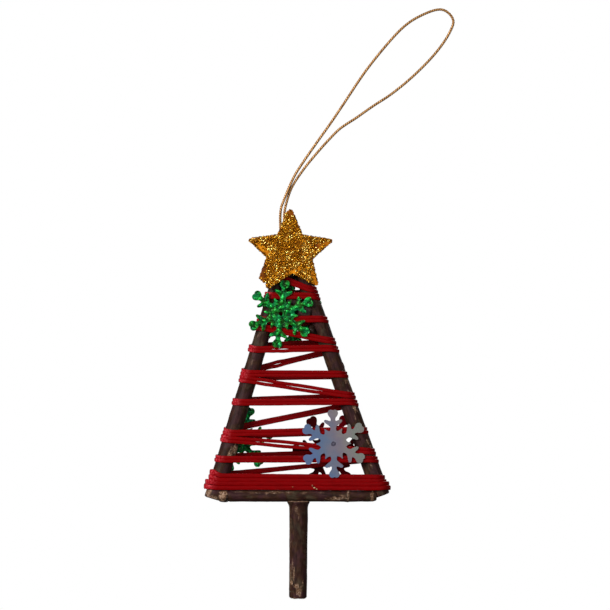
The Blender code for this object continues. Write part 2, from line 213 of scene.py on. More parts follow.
# Gold cord: three plies of metallic thread laid round each other
goldCord = {
    "diameter": 0.8,
    "plies": 3,
    "plyPitch": 2.1,
    "plyFullness": 0.7,
    "plyDepth": 0.2,
    "step": 0.11,
    "sides": 20,
}
loopRoute = (
    (-47.6, 0.0, -71.3),
    (-47.9, 0.0, -64.5),
    (-47.8, -0.2, -60.0),
    (-46.9, -0.3, -57.0),
    (-44.0, -0.3, -50.2),
    (-40.9, -0.2, -45.2),
    (-36.8, 0.0, -39.3),
    (-32.6, 0.2, -33.4),
    (-28.9, 0.3, -27.9),
    (-22.1, 0.3, -17.8),
    (-14.6, 0.1, -8.6),
    (-9.5, 0.0, -3.7),
    (-4.1, 0.0, -0.7),
    (0.0, 0.0, 0.4),
    (2.6, 0.0, -0.7),
    (4.0, 0.0, -3.1),
    (3.1, 0.0, -6.1),
    (0.6, 0.0, -10.2),
    (-3.2, -0.2, -14.8),
    (-8.7, -0.3, -20.2),
    (-14.6, -0.3, -25.0),
    (-20.1, -0.1, -28.6),
    (-25.1, 0.0, -32.1),
    (-29.8, 0.2, -35.2),
    (-33.1, 0.3, -38.4),
    (-37.3, 0.3, -43.1),
    (-41.1, 0.3, -47.8),
    (-44.3, 0.3, -52.7),
    (-45.9, 0.3, -57.0),
    (-46.7, 0.2, -61.0),
    (-46.6, 0.0, -65.5),
    (-46.0, 0.0, -71.3),
)


# Radius = cord radius less grooves between the plies, which turn round the cord once for each pitch
def makeGoldCord():
    path = evenPath(loopRoute, goldCord["step"])
    side, other = pathFrame(path, (0, 1, 0))
    walked = np.arange(len(path)) * goldCord["step"]
    angle = np.linspace(0, 2 * math.pi, goldCord["sides"], endpoint=False)
    turn = angle[None, :] - (2 * math.pi * walked / goldCord["plyPitch"])[:, None]
    lobes = np.abs(np.cos(turn * goldCord["plies"] / 2)) ** goldCord["plyFullness"]
    radius = goldCord["diameter"] / 2 * (1 - goldCord["plyDepth"] + goldCord["plyDepth"] * lobes)
    cosine, sine = np.cos(angle)[None, :, None], np.sin(angle)[None, :, None]
    spoke = cosine * side[:, None, :] + sine * other[:, None, :]
    rings = path[:, None, :] + radius[:, :, None] * spoke
    points = np.concatenate([rings.reshape(-1, 3), path[:1], path[-1:]])
    marks = {"ply": np.concatenate([lobes.ravel(), [1, 1]])}
    return makePiece("goldLoop", points, tubeFaces(len(path), goldCord["sides"]), marks), path


# Metallised polyester thread over a brown core, with painted highlight on the plies and shade in the
# grooves
def goldThread():
    material, shader = newMaterial("goldMetallicThread")
    ply = addNode(material, "ShaderNodeAttribute", {"attribute_name": "ply"})
    place = addNode(material, "ShaderNodeTexCoord")
    # Glints of single threads, about 0.4 mm
    flecks = addNode(material, "ShaderNodeTexNoise", None,
                     {"Vector": (place, "Object"), "Scale": 2600.0, "Detail": 2.0})
    mixed = addNode(material, "ShaderNodeMath", {"operation": "MULTIPLY_ADD"},
                    {0: (flecks, "Fac"), 1: 0.9, 2: -0.45})
    lifted = addNode(material, "ShaderNodeMath", {"operation": "ADD", "use_clamp": True},
                     {0: (ply, "Fac"), 1: (mixed, 0)})
    # The ply mark, 1 on a crest and 0 in a groove, picks the colour: painted highlight and painted shade
    colour = addNode(material, "ShaderNodeValToRGB", None, {"Fac": (lifted, 0)},
                     ramp=((0.2, "#2a170b"), (0.55, "#5f3c1c"), (0.8, "#8e6234"), (1.0, "#c79a62")))
    setInputs(material, shader, {
        "Base Color": (colour, "Color"),
        "Metallic": 0.45,
        "Roughness": 0.42,
        "Specular IOR Level": 0.2,
    })
    return material


goldLoop, loopPath = makeGoldCord()
finishPiece(goldLoop, goldThread(), "hanging_loop")


# Twigs. Ends and radii repeat the solids', in mm; lengths along a twig run from its first end, and
# degrees go round it towards the front: from its left, or from above on the level base twig. A knot
# is (place, degrees, height, half length, half width), a scar (place, degrees, half length, half
# width, strength), a pale torn place. A ring runs right round the twig: (place, half width, height,
# paleness). A bow is (share of the length, mm aside). Flares widen the ends by so many mm, or narrow
# them if negative. A bevel is the share of the radius that is worn off at the sawn edges
twigs = {
    "twig_left": {
        "start": (-47.3, 0.0, -76.4), "end": (-67.8, 0.0, -146.4), "radii": (2.05, 2.75),
        "bows": ((0.40, -0.10), (0.62, 0.12)), "seed": 11, "flare": 0.0, "footFlare": 0.28,
        "knots": ((57.0, 150, 0.16, 1.6, 1.0), (70.5, 20, 0.12, 1.2, 1.4)),
        "scars": ((57.0, 146, 1.8, 1.25, 0.95), (58.6, 112, 0.7, 0.6, 0.8), (71.4, 35, 1.3, 1.3, 0.8),
                  (54.6, 128, 0.5, 0.25, 0.5), (30.0, 75, 1.2, 0.22, 0.25), (21.3, 60, 0.9, 0.25, 0.3),
                  (72.4, 80, 0.4, 1.6, 0.5)),
        "rings": (),
    },
    "twig_right": {
        "start": (-42.1, 0.0, -76.4), "end": (-17.6, 0.0, -145.45), "radii": (2.3, 2.62),
        "bows": ((0.55, 0.08),), "seed": 23, "flare": 0.0, "footFlare": 0.0,
        "knots": ((32.6, 176, 0.22, 0.8, 0.6), (13.0, 120, 0.10, 1.6, 1.0), (22.5, 100, 0.1, 2.0, 1.5)),
        "scars": ((32.5, 172, 0.5, 0.5, 0.7), (38.5, 150, 3.0, 0.45, 0.7), (36.6, 128, 1.6, 0.25, 0.55),
                  (41.0, 118, 0.8, 0.22, 0.5), (45.4, 119, 1.3, 0.55, 0.95), (46.6, 132, 0.7, 0.3, 0.8),
                  (56.7, 127, 1.2, 0.45, 0.85), (58.4, 140, 0.7, 0.3, 0.6), (48.6, 100, 1.0, 0.22, 0.4),
                  (16.8, 70, 0.5, 0.35, 0.4), (63.5, 95, 1.4, 0.25, 0.35)),
        "rings": (),
    },
    "twig_base": {
        "start": (-19.05, -1.4, -145.4), "end": (-66.3, -1.4, -145.4), "radii": (1.8, 1.8),
        "bows": ((0.5, 0.05),), "seed": 37, "flare": -0.3, "footFlare": 0.0,
        "knots": ((8.9, 110, 0.14, 0.7, 2.4), (45.6, 100, 0.16, 1.0, 2.4)),
        "scars": ((1.5, 105, 0.4, 1.5, 0.85), (46.2, 95, 1.1, 1.7, 0.95), (45.3, 60, 0.5, 0.8, 0.8),
                  (12.0, 112, 2.6, 0.75, 0.7), (10.2, 90, 1.0, 0.4, 0.55), (30.5, 50, 1.9, 0.5, 0.45),
                  (26.0, 52, 1.4, 0.4, 0.3), (36.5, 55, 2.6, 0.4, 0.3), (41.5, 45, 1.6, 0.35, 0.3),
                  (22.0, 55, 0.8, 0.45, 0.3), (16.5, 60, 1.2, 0.3, 0.25), (33.0, 62, 0.5, 0.6, 0.4)),
        "rings": ((8.6, 0.26, 0.12, 1.0), (1.15, 0.22, 0.12, 0.85), (44.4, 0.3, -0.16, 0.0)),
    },
    "trunk_twig": {
        "start": (-42.42, -1.4, -146.9), "end": (-42.62, -1.4, -176.1), "radii": (2.79, 2.63),
        "bows": ((0.4, -0.02),), "seed": 51, "flare": 0.7, "footFlare": 0.0, "bevel": 0.26,
        "knots": ((24.8, 60, 0.14, 1.8, 1.4),),
        # The two long faint scars at 22 and 28 degrees pale the trunk's left side, where the key light
        # falls: greyer bark with a painted sheen
        "scars": ((24.3, 44, 0.75, 0.55, 0.9), (25.4, 74, 0.8, 0.85, 0.9), (26.8, 96, 1.3, 0.95, 0.7),
                  (24.4, 122, 1.1, 0.3, 0.6), (22.0, 62, 1.8, 0.22, 0.6), (25.6, 112, 0.5, 0.35, 0.5),
                  (2.4, 78, 1.3, 0.5, 0.35), (10.0, 22, 9.0, 0.9, 0.22), (22.0, 28, 4.0, 1.0, 0.3),
                  (4.6, 92, 1.2, 0.16, 0.35), (15.5, 138, 1.6, 0.16, 0.35), (19.0, 50, 1.6, 0.3, 0.35)),
        "rings": ((29.1, 0.16, 0.0, 0.9),),
    },
}
barkLook = {
    "ringStep": 0.2,
    "sides": 96,
    "ridgeHeight": 0.045,
    "fineHeight": 0.022,
    "slowHeight": 0.05,
    "scarDepth": 0.07,
    "sawnHeight": 0.08,
    "edgeRound": 0.45,
    "bevel": 0.1,
    "flareReach": 1.1,
    "footFlareReach": 2.6,
    "saddleGap": 0.08,
    "bowEaseRings": 81,
}


# Straight axis with slow bows; radius = taper + flares + knots + rings + long ridges - scars. Each
# bump falls off as a bell
def twigSurface(twig):
    start, end = np.array(twig["start"]), np.array(twig["end"])
    length = np.linalg.norm(end - start)
    along = (end - start) / length
    front = np.array([0.0, -1.0, 0.0])
    side = np.cross(along, front)
    bevel = twig.get("bevel", barkLook["bevel"])
    edge = barkLook["edgeRound"] * (1 + bevel)
    shrink = np.array([0.15, 0.3, 0.45, 0.6, 0.72, 0.82, 0.9]) / 0.9 * (1 - bevel)
    turnDown = 1 - bevel * (1 - np.sin(np.linspace(0, math.pi / 2, 6))[1:])
    corner = edge * (1 - np.cos(np.linspace(0, math.pi / 2, 6))[1:])
    body = np.linspace(edge, length - edge, int(length / barkLook["ringStep"]))[1:-1]
    places = np.concatenate([np.zeros(7), corner, body, length - corner[::-1], np.full(7, length)])
    scale = np.concatenate([shrink, turnDown, np.ones(len(body)), turnDown[::-1], shrink[::-1]])
    angle = np.linspace(0, 2 * math.pi, barkLook["sides"], endpoint=False)
    s, a = np.meshgrid(places, angle, indexing="ij")
    seed = twig["seed"]
    bare = twig["radii"][0] + (twig["radii"][1] - twig["radii"][0]) * s / length
    bare = bare + twig["flare"] * np.exp(-(s / barkLook["flareReach"]) ** 2)
    bare = bare + twig["footFlare"] * np.exp(-((length - s) / barkLook["footFlareReach"]) ** 2)
    around = np.stack([np.cos(a) * bare, np.sin(a) * bare], -1).reshape(-1, 2)
    grain = np.column_stack([around, s.ravel()])
    long = roughNoise(grain * (0.9, 0.9, 0.2), seed, 3).reshape(s.shape)
    fine = roughNoise(grain * (2.6, 2.6, 1.1), seed + 7, 2).reshape(s.shape)
    slow = roughNoise(grain * (0.25, 0.25, 0.22), seed + 13, 2).reshape(s.shape)
    relief = barkLook["ridgeHeight"] * long + barkLook["fineHeight"] * fine + barkLook["slowHeight"] * slow
    for place, degrees, height, spread, width in twig["knots"]:
        turn = np.abs((a - math.radians(degrees) + math.pi) % (2 * math.pi) - math.pi) * bare
        relief += height * np.exp(-((s - place) / spread) ** 2 - (turn / (width * 1.6)) ** 2)
    scar = np.zeros(s.shape)
    for place, width, height, strength in twig["rings"]:
        bell = np.exp(-((s - place + 0.15 * long) / width) ** 2)
        relief += height * bell
        scar = np.maximum(scar, strength * bell * np.clip(0.75 + 0.6 * fine, 0, 1))
    for place, degrees, halfLength, halfWidth, strength in twig["scars"]:
        turn = (a - math.radians(degrees) + math.pi) % (2 * math.pi) - math.pi
        reach = np.sqrt(((s - place) / halfLength) ** 2 + (turn * bare / halfWidth) ** 2)
        ragged = reach + 0.55 * fine + 0.35 * long
        scar = np.maximum(scar, strength * np.clip((1.15 - ragged) / 0.6, 0, 1))
    relief -= barkLook["scarDepth"] * scar
    shares = [0.0] + [share for share, _ in twig["bows"]] + [1.0]
    offsets = [0.0] + [offset for _, offset in twig["bows"]] + [0.0]
    bow = np.interp(s / length, shares, offsets)
    ease = np.hanning(barkLook["bowEaseRings"])
    padded = np.pad(bow[:, 0], barkLook["bowEaseRings"] // 2, "edge")
    bow[:, :] = np.convolve(padded, ease / ease.sum(), "valid")[:, None]
    onEnd = scale[:, None] < 0.9
    cut = np.broadcast_to(onEnd, s.shape) * 1.0
    uneven = roughNoise(grain * (1.3, 1.3, 0.1) + 40, seed + 21, 3).reshape(s.shape)
    sawn = barkLook["sawnHeight"] * uneven * onEnd
    radius = bare * scale[:, None] + relief * (scale[:, None] > 0.89)
    centre = start + s[..., None] * along + bow[..., None] * side + sawn[..., None] * along
    points = centre + radius[..., None] * (np.cos(a)[..., None] * side + np.sin(a)[..., None] * front)
    return points, s, scar, cut, grain


# Where the base twig meets a side twig it is cut back to that twig's round surface, a circle across
# that twig's axis
def saddle(points, twig, inward):
    start, end = np.array(twig["start"]), np.array(twig["end"])
    share = (start[2] - points[..., 2]) / (start[2] - end[2])
    axisX = start[0] + (end[0] - start[0]) * share
    slope = math.hypot(end[0] - start[0], end[2] - start[2]) / abs(end[2] - start[2])
    room = twig["radii"][0] + (twig["radii"][1] - twig["radii"][0]) * share + barkLook["saddleGap"]
    reach = np.sqrt(np.maximum(room ** 2 - points[..., 1] ** 2, 0)) * slope
    limit = axisX + inward * reach
    inside = (np.abs(points[..., 1]) < room) & ((points[..., 0] - limit) * inward < 0)
    points[..., 0] = np.where(inside, limit, points[..., 0])
    return points


# The twig's surface with a pole in place of the outermost ring at each end
def makeTwig(name, twig, material):
    points, s, scar, cut, grain = twigSurface(twig)
    if name == "twig_base":
        points = saddle(points, twigs["twig_left"], 1)
        points = saddle(points, twigs["twig_right"], -1)
    rings, sides = s.shape
    flat = points.reshape(-1, 3)
    poles = np.stack([points[0].mean(0), points[-1].mean(0)])
    faces = tubeFaces(rings - 2, sides)
    inner = flat[sides:-sides]
    marks = {
        "grain": np.concatenate([grain[sides:-sides], grain[:1], grain[-1:]]),
        "scar": np.concatenate([scar.ravel()[sides:-sides], [0, 0]]),
        "cut": np.concatenate([cut.ravel()[sides:-sides], [1, 1]]),
    }
    piece = makePiece(name + "Bark", np.concatenate([inner, poles]), faces, marks)
    piece.data.set_sharp_from_angle(angle=math.radians(55))
    finishPiece(piece, material, name)


# Thin dry bark: dull, dark brown with purple and olive stretches. Scars and sawn ends show paler
# wood, which gives the eye the light flecks on the dark twigs
def dryBark():
    material, shader = newMaterial("dryTwigBark")
    grain = addNode(material, "ShaderNodeAttribute", {"attribute_name": "grain"})
    scar = addNode(material, "ShaderNodeAttribute", {"attribute_name": "scar"})
    cut = addNode(material, "ShaderNodeAttribute", {"attribute_name": "cut"})
    # Faint streaks 0.8 mm wide and 3 mm long over patches of about 5 mm
    stretched = addNode(material, "ShaderNodeMapping", None,
                        {"Vector": (grain, "Vector"), "Scale": (1.3, 1.3, 0.35)})
    streaks = addNode(material, "ShaderNodeTexNoise", None,
                      {"Vector": (stretched, "Vector"), "Scale": 1.0, "Detail": 4.0, "Roughness": 0.55})
    patches = addNode(material, "ShaderNodeTexNoise", None,
                      {"Vector": (grain, "Vector"), "Scale": 0.2, "Detail": 3.0, "Distortion": 0.6})
    brown = addNode(material, "ShaderNodeValToRGB", None, {"Fac": (streaks, "Fac")},
                    ramp=((0.28, "#180c07"), (0.45, "#25130c"), (0.58, "#301c12"), (0.75, "#3e291b")))
    purple = addNode(material, "ShaderNodeValToRGB", None, {"Fac": (streaks, "Fac")},
                     ramp=((0.3, "#1e0f0d"), (0.5, "#2c1718"), (0.72, "#3a2121")))
    olive = addNode(material, "ShaderNodeValToRGB", None, {"Fac": (streaks, "Fac")},
                    ramp=((0.3, "#22190f"), (0.5, "#30261b"), (0.72, "#403226")))
    toPurple = addNode(material, "ShaderNodeMapRange", None,
                       {"Value": (patches, "Fac"), "From Min": 0.48, "From Max": 0.56})
    toOlive = addNode(material, "ShaderNodeMapRange", None,
                      {"Value": (patches, "Fac"), "From Min": 0.44, "From Max": 0.36})
    stained = addNode(material, "ShaderNodeMix", {"data_type": "RGBA"},
                      {"Factor": (toPurple, 0), 6: (brown, "Color"), 7: (purple, "Color")})
    bark = addNode(material, "ShaderNodeMix", {"data_type": "RGBA"},
                   {"Factor": (toOlive, 0), 6: (stained, 2), 7: (olive, "Color")})
    # Corky scars with brown cracks about 0.4 mm apart, some of them stained rusty
    cracks = addNode(material, "ShaderNodeTexNoise", None,
                     {"Vector": (grain, "Vector"), "Scale": 2.2, "Detail": 4.0, "Roughness": 0.7})
    corky = addNode(material, "ShaderNodeValToRGB", None, {"Fac": (cracks, "Fac")},
                    ramp=((0.36, "#2e1a0e"), (0.46, "#644833"), (0.56, "#8c705a"), (0.68, "#c2a898")))
    scarred = addNode(material, "ShaderNodeMix", {"data_type": "RGBA"},
                      {"Factor": (scar, "Fac"), 6: (bark, 2), 7: (corky, "Color")})
    sawn = addNode(material, "ShaderNodeValToRGB", None, {"Fac": (cracks, "Fac")},
                   ramp=((0.3, "#4a3222"), (0.55, "#7c6250"), (0.75, "#a08a7a")))
    ended = addNode(material, "ShaderNodeMix", {"data_type": "RGBA"},
                    {"Factor": (cut, "Fac"), 6: (scarred, 2), 7: (sawn, "Color")})
    bumps = addNode(material, "ShaderNodeBump", None,
                    {"Height": (cracks, "Fac"), "Strength": 0.2, "Distance": 0.0002})
    setInputs(material, shader, {
        "Base Color": (ended, 2),
        "Normal": (bumps, "Normal"),
        "Roughness": 0.5,
        "Specular IOR Level": 0.07,
    })
    return material


barkMaterial = dryBark()
for twigName, twigValues in twigs.items():
    makeTwig(twigName, twigValues, barkMaterial)
print("twigs made")


# Red cord, laid double. Heights are shares of the frame's height above the base twig: front left,
# front right, back right, back left for each turn
frameHeight = 69.0
baseHeight = -145.4
windingTurns = (
    (0.949, 0.900, 0.882, 0.873),
    (0.869, 0.868, 0.855, 0.774),
    (0.763, 0.768, 0.758, 0.737),
    (0.730, 0.676, 0.664, 0.649),
    (0.635, 0.641, 0.626, 0.544),
    (0.531, 0.529, 0.519, 0.513),
    (0.504, 0.4395, 0.428, 0.412),
    (0.406, 0.409, 0.392, 0.291),
    (0.272, 0.286, 0.279, 0.258),
    (0.2445, 0.195, 0.185, 0.167),
    (0.159, 0.160, 0.152, 0.087),
    (0.0765, 0.0745, 0.066, 0.053),
    (0.0445, 0.0415, 0.038, 0.034),
)
# Where the two strands part or cross: front or back of a turn, share of the way from the left twig
# to the right one, half length as a share of it, and how far each strand moves, in mm
windingGaps = (
    ("front", 4, 0.22, 0.03, 0.12),
    ("front", 4, 0.36, 0.07, 0.15),
    ("back", 4, 0.33, 0.06, 0.16),
    ("back", 4, 0.65, 0.25, -0.15),
    ("front", 6, 0.17, 0.08, 0.14),
    ("front", 6, 0.58, 0.22, 0.15),
    ("front", 9, 0.36, 0.16, 0.20),
    ("front", 3, 0.75, 0.15, 0.06),
    ("back", 7, 0.55, 0.40, -0.10),
    ("back", 10, 0.50, 0.60, -0.42),
)
# Wraps that bulge because the cord crosses itself under them, or lie lower if negative: the side, the
# turn that they belong to, and how far they stand out in mm
wrapBulges = {
    ("left", 8): 0.12,
    ("left", 10): -0.15,
    ("left", 11): 0.6,
    ("right", 11): 0.02,
    ("right", 12): 0.52,
}
# Wraps that ride up over the one below them, most just in front of their outermost point: the
# rise of the upper and of the lower strand
wrapRises = {("left", 10): (1.15, 0.75), ("left", 11): (0.45, 0.1), ("right", 12): (0.35, 0.35)}
# Wraps whose strands are thicker at their outermost point, as a share
wrapSwells = {("left", 10): 0.45, ("left", 11): 0.2, ("left", 8): 0.1, ("left", 4): 0.12}
# The thick turns, counted from 0, lie looser, so their strands are thicker by the factor thickening.
# A squareness below 1 fills out the corners of a strand's oval
redCord = {
    "width": 1.06,
    "thickness": 0.6,
    "pitch": 0.98,
    "step": 0.32,
    "sides": 16,
    "squareness": 0.54,
    "rounding": 1.2,
    "wander": 0.035,
    "lumps": 0.03,
    "barkGap": 0.06,
    "pressedIn": {"left": 0.0, "right": 0.38},
    "peakAngle": {"left": 1.2, "right": -0.2},
    "thickTurns": (11, 12),
    "thickening": 1.25,
    "fineStep": 0.15,
    "bellReach": 14,
}


# Points round a side twig at the given heights and angles, on an ellipse that lies on its bark.
# Each row holds the point, the direction away from the twig and how thick the strand is there
def roundTwig(side, heights, angles, turn=0, strand=1):
    twig = twigs["twig_" + side]
    start, end = np.array(twig["start"]), np.array(twig["end"])
    share = (start[2] - heights) / (start[2] - end[2])
    slope = math.hypot(end[0] - start[0], end[2] - start[2]) / abs(end[2] - start[2])
    bare = twig["radii"][0] + (twig["radii"][1] - twig["radii"][0]) * share
    outer = np.abs(np.cos(angles)) ** 1.5
    upper, lower = wrapRises.get((side, turn), (0.0, 0.0))
    peak = redCord["peakAngle"][side] * math.pi
    nearPeak = np.clip(np.cos(angles - peak), 0, 1) ** 3
    heights = heights + nearPeak * (upper if strand > 0 else lower)
    lift = redCord["barkGap"] + outer * (wrapBulges.get((side, turn), 0.0) - redCord["pressedIn"][side])
    reach = bare + redCord["thickness"] / 2 + lift
    x = start[0] + (end[0] - start[0]) * share + reach * slope * np.cos(angles)
    thicker = turn + (side == "left") in redCord["thickTurns"]
    swell = (redCord["thickening"] if thicker else 1.0) + outer * wrapSwells.get((side, turn), 0.0)
    return np.stack([x, reach * np.sin(angles), heights, np.cos(angles), np.sin(angles), swell], -1)


# Straight pass between two points. Where the two strands part, each is pushed up or down by a bell
def straightPass(start, end, face, turn, side, leftFirst):
    t = np.linspace(0, 1, 41)[1:-1, None]
    points = start + (end - start) * t
    fromLeft = t[:, 0] if leftFirst else 1 - t[:, 0]
    for gapFace, gapTurn, middle, half, reach in windingGaps:
        if (gapFace, gapTurn) == (face, turn):
            points[:, 2] += side * reach * np.exp(-((fromLeft - middle) / half) ** 2)
    return points


# The strand's path: half a turn round the right twig, straight across behind, half a turn round the
# left twig and straight across in front, again and again, then rounded by a bell-shaped average
def strandPath(side):
    half = np.linspace(0, 1, 15)

    # Height of this strand's middle: half a pitch above or below that of the pair
    def height(share, turn):
        thicker = redCord["thickening"] if turn in redCord["thickTurns"] else 1.0
        return baseHeight + frameHeight * share + side * redCord["pitch"] / 2 * thicker

    rows = [roundTwig("left", height(np.array([windingTurns[0][0]]), 0), np.array([-math.pi / 2]))]
    for turn, (_, frontRight, backRight, backLeft) in enumerate(windingTurns):
        heights = height(frontRight + (backRight - frontRight) * half, turn)
        wrap = roundTwig("right", heights, math.pi * (half - 0.5), turn, side)
        rows.append(straightPass(rows[-1][-1], wrap[0], "front", turn, side, True))
        rows.append(wrap)
        if turn < len(windingTurns) - 1:
            heights = height(backLeft + (windingTurns[turn + 1][0] - backLeft) * half, turn + 1)
            wrap = roundTwig("left", heights, math.pi * (half + 0.5), turn, side)
            rows.append(straightPass(rows[-1][-1], wrap[0], "back", turn, side, False))
            rows.append(wrap)
    fineStep, reach = redCord["fineStep"], redCord["bellReach"]
    path = resample(np.concatenate(rows), fineStep)
    bell = np.exp(-(np.arange(-reach, reach + 1) * fineStep / redCord["rounding"] * 1.6) ** 2)
    padded = np.concatenate([np.repeat(path[:1], reach, 0), path, np.repeat(path[-1:], reach, 0)])
    path = np.stack([np.convolve(column, bell / bell.sum(), "valid") for column in padded.T], -1)
    return resample(path, redCord["step"])


# Rounded flat rings square to the path, the flat way towards the twigs. The strand is lumpier where
# it turns round the left twig
def makeStrand(name, side, seed, node, material):
    path = strandPath(side)
    walked = np.arange(len(path)) * redCord["step"]
    drift = smoothNoise(np.column_stack([walked / 9, walked * 0, walked * 0]), seed)
    path[:, 2] += redCord["wander"] * drift
    centre, swell = path[:, :3], path[:, 5]
    along = np.gradient(centre, axis=0)
    along /= np.linalg.norm(along, axis=1)[:, None]
    away = np.column_stack([path[:, 3:5], np.zeros(len(path))])
    lumpy = redCord["lumps"] * (1 + 2.5 * np.clip(-away[:, 0], 0, 1) ** 2)
    away -= along * (along * away).sum(1)[:, None]
    away /= np.linalg.norm(away, axis=1)[:, None]
    beside = np.cross(along, away)
    angle = np.linspace(0, 2 * math.pi, redCord["sides"], endpoint=False)
    w, a = np.meshgrid(walked, angle, indexing="ij")
    lumps = np.column_stack([np.cos(a.ravel()) * 0.8, np.sin(a.ravel()) * 0.8, w.ravel() / 0.9])
    size = swell[:, None] * (1 + lumpy[:, None] * roughNoise(lumps, seed + 3, 2).reshape(w.shape))
    flat = size * np.sign(np.cos(a)) * np.abs(np.cos(a)) ** redCord["squareness"] * redCord["thickness"] / 2
    broad = size * np.sign(np.sin(a)) * np.abs(np.sin(a)) ** redCord["squareness"] * redCord["width"] / 2
    rings = centre[:, None, :] + flat[..., None] * away[:, None, :] + broad[..., None] * beside[:, None, :]
    points = np.concatenate([rings.reshape(-1, 3), centre[:1], centre[-1:]])
    fibre = np.column_stack([w.ravel(), a.ravel() / (2 * math.pi), np.zeros(w.size)])
    # The rear mark runs from 0 in front of the twigs to 1 behind them and darkens the back passes: painted
    # shade
    rear = np.clip(0.5 + rings[..., 1] / 4.0, 0, 1).ravel()
    # A painted highlight on the left wraps, where the key light falls, none on the back passes
    leftHighlight = np.repeat(np.clip(-path[:, 3] * 1.3, 0, 1) ** 1.5, redCord["sides"]) * (1 - rear)
    marks = {
        "fibre": np.concatenate([fibre, np.zeros((2, 3))]),
        "rear": np.concatenate([rear, [0, 0]]),
        "leftHighlight": np.concatenate([leftHighlight, [0, 0]]),
    }
    piece = makePiece(name, points, tubeFaces(len(path), redCord["sides"]), marks)
    finishPiece(piece, material, node)
    return len(path) * redCord["step"]


# Waxed cord: a deep red skin with a soft gloss, its fibres just visible along it. It is painted brighter
# and pinker on the left wraps, a painted highlight where the key light falls, and a darker red
# behind the tree, painted shade for the back passes that the front ones shade
def waxedRedCord():
    material, shader = newMaterial("waxedRedCord")
    fibre = addNode(material, "ShaderNodeAttribute", {"attribute_name": "fibre"})
    rear = addNode(material, "ShaderNodeAttribute", {"attribute_name": "rear"})
    leftHighlight = addNode(material, "ShaderNodeAttribute", {"attribute_name": "leftHighlight"})
    # Fibres 0.15 mm across and some 3 mm long
    drawn = addNode(material, "ShaderNodeMapping", None,
                    {"Vector": (fibre, "Vector"), "Scale": (0.35, 16.0, 1.0)})
    strands = addNode(material, "ShaderNodeTexNoise", None,
                      {"Vector": (drawn, "Vector"), "Scale": 1.0, "Detail": 3.0})
    # Wax lumps of about 0.5 mm
    grit = addNode(material, "ShaderNodeTexCoord")
    lumps = addNode(material, "ShaderNodeTexNoise", None,
                    {"Vector": (grit, "Object"), "Scale": 1900.0, "Detail": 2.0})
    colour = addNode(material, "ShaderNodeValToRGB", None, {"Fac": (strands, "Fac")},
                     ramp=((0.3, "#590001"), (0.5, "#670002"), (0.7, "#740002")))
    # Darker red for the back passes: painted shade
    deep = addNode(material, "ShaderNodeValToRGB", None, {"Fac": (strands, "Fac")},
                   ramp=((0.3, "#4a0001"), (0.5, "#5e0002"), (0.7, "#700003")))
    # Lighter, pinker red for the left wraps: a painted highlight
    bright = addNode(material, "ShaderNodeValToRGB", None, {"Fac": (lumps, "Fac")},
                     ramp=((0.35, "#7c0710"), (0.5, "#8f121c"), (0.65, "#b23e46")))
    mixed = addNode(material, "ShaderNodeMix", {"data_type": "RGBA"},
                    {"Factor": (rear, "Fac"), 6: (colour, "Color"), 7: (deep, "Color")})
    wearAndHighlight = addNode(material, "ShaderNodeMix", {"data_type": "RGBA"},
                   {"Factor": (leftHighlight, "Fac"), 6: (mixed, 2), 7: (bright, "Color")})
    bumps = addNode(material, "ShaderNodeBump", None,
                    {"Height": (lumps, "Fac"), "Strength": 0.25, "Distance": 0.0002})
    setInputs(material, shader, {
        "Base Color": (wearAndHighlight, 2),
        "Normal": (bumps, "Normal"),
        "Roughness": 0.4,
        "Specular IOR Level": 0.03,
    })
    return material


redMaterial = waxedRedCord()
strandLength = makeStrand("redStrandUpper", 1, 61, "winding_strand_upper", redMaterial)
makeStrand("redStrandLower", -1, 67, "winding_strand_lower", redMaterial)
print("red cord wound:", round(strandLength), "mm for each strand")


# Flat plates cut to an outline: interior points on a hexagonal grid, joined by Delaunay triangles.
# Returns points in the plate's plane, triangles, and the open edges as ordered pairs
def cutPlate(outline, spacing, holeRadius=0.0):
    loops = [outline]
    if holeRadius:
        turn = np.linspace(0, 2 * math.pi, 18, endpoint=False)
        loops.append(np.column_stack([np.cos(turn), np.sin(turn)]) * holeRadius)
    edges, count = [], 0
    for loop in loops:
        here = np.arange(len(loop)) + count
        edges += np.column_stack([here, np.roll(here, -1)]).tolist()
        count += len(loop)
    low, high = outline.min(0), outline.max(0)
    rows = np.arange(low[1], high[1], spacing * math.sqrt(3) / 2)
    columns = np.arange(low[0], high[0], spacing)
    x, z = np.meshgrid(columns, rows)
    x = x + (np.arange(len(rows)) % 2)[:, None] * spacing / 2
    grid = np.column_stack([x.ravel(), z.ravel()])
    inside = np.zeros(len(grid), bool)
    nearest = np.full(len(grid), 1e9)
    for start, end in zip(outline, np.roll(outline, -1, 0)):
        step = end - start
        share = np.clip((grid - start) @ step / (step @ step), 0, 1)
        nearest = np.minimum(nearest, np.linalg.norm(grid - start - share[:, None] * step, axis=1))
        crosses = (start[1] > grid[:, 1]) != (end[1] > grid[:, 1])
        atX = start[0] + (grid[:, 1] - start[1]) * step[0] / (step[1] if step[1] else 1e-9)
        inside ^= crosses & (grid[:, 0] < atX)
    kept = inside & (nearest > spacing * 0.45)
    kept &= np.linalg.norm(grid, axis=1) > (holeRadius + spacing * 0.45 if holeRadius else -1)
    everything = np.concatenate(loops + [grid[kept]])
    found, _, joined, _, _, _ = delaunay_2d_cdt([tuple(p) for p in everything], edges, [], 1, 1e-7)
    flat = np.array([tuple(p) for p in found])
    triangles = np.array([t for t in joined if len(t) == 3])
    middle = flat[triangles].mean(1)
    triangles = triangles[np.linalg.norm(middle, axis=1) > holeRadius * 0.98]
    a, b, c = (flat[triangles[:, k]] for k in range(3))
    area = (b[:, 0] - a[:, 0]) * (c[:, 1] - a[:, 1]) - (b[:, 1] - a[:, 1]) * (c[:, 0] - a[:, 0])
    triangles[area < 0] = triangles[area < 0][:, ::-1]
    ways = np.concatenate([triangles[:, [0, 1]], triangles[:, [1, 2]], triangles[:, [2, 0]]])
    codes = ways[:, 0] * len(flat) + ways[:, 1]
    backs = ways[:, 1] * len(flat) + ways[:, 0]
    return flat, triangles, ways[~np.isin(codes, backs)]


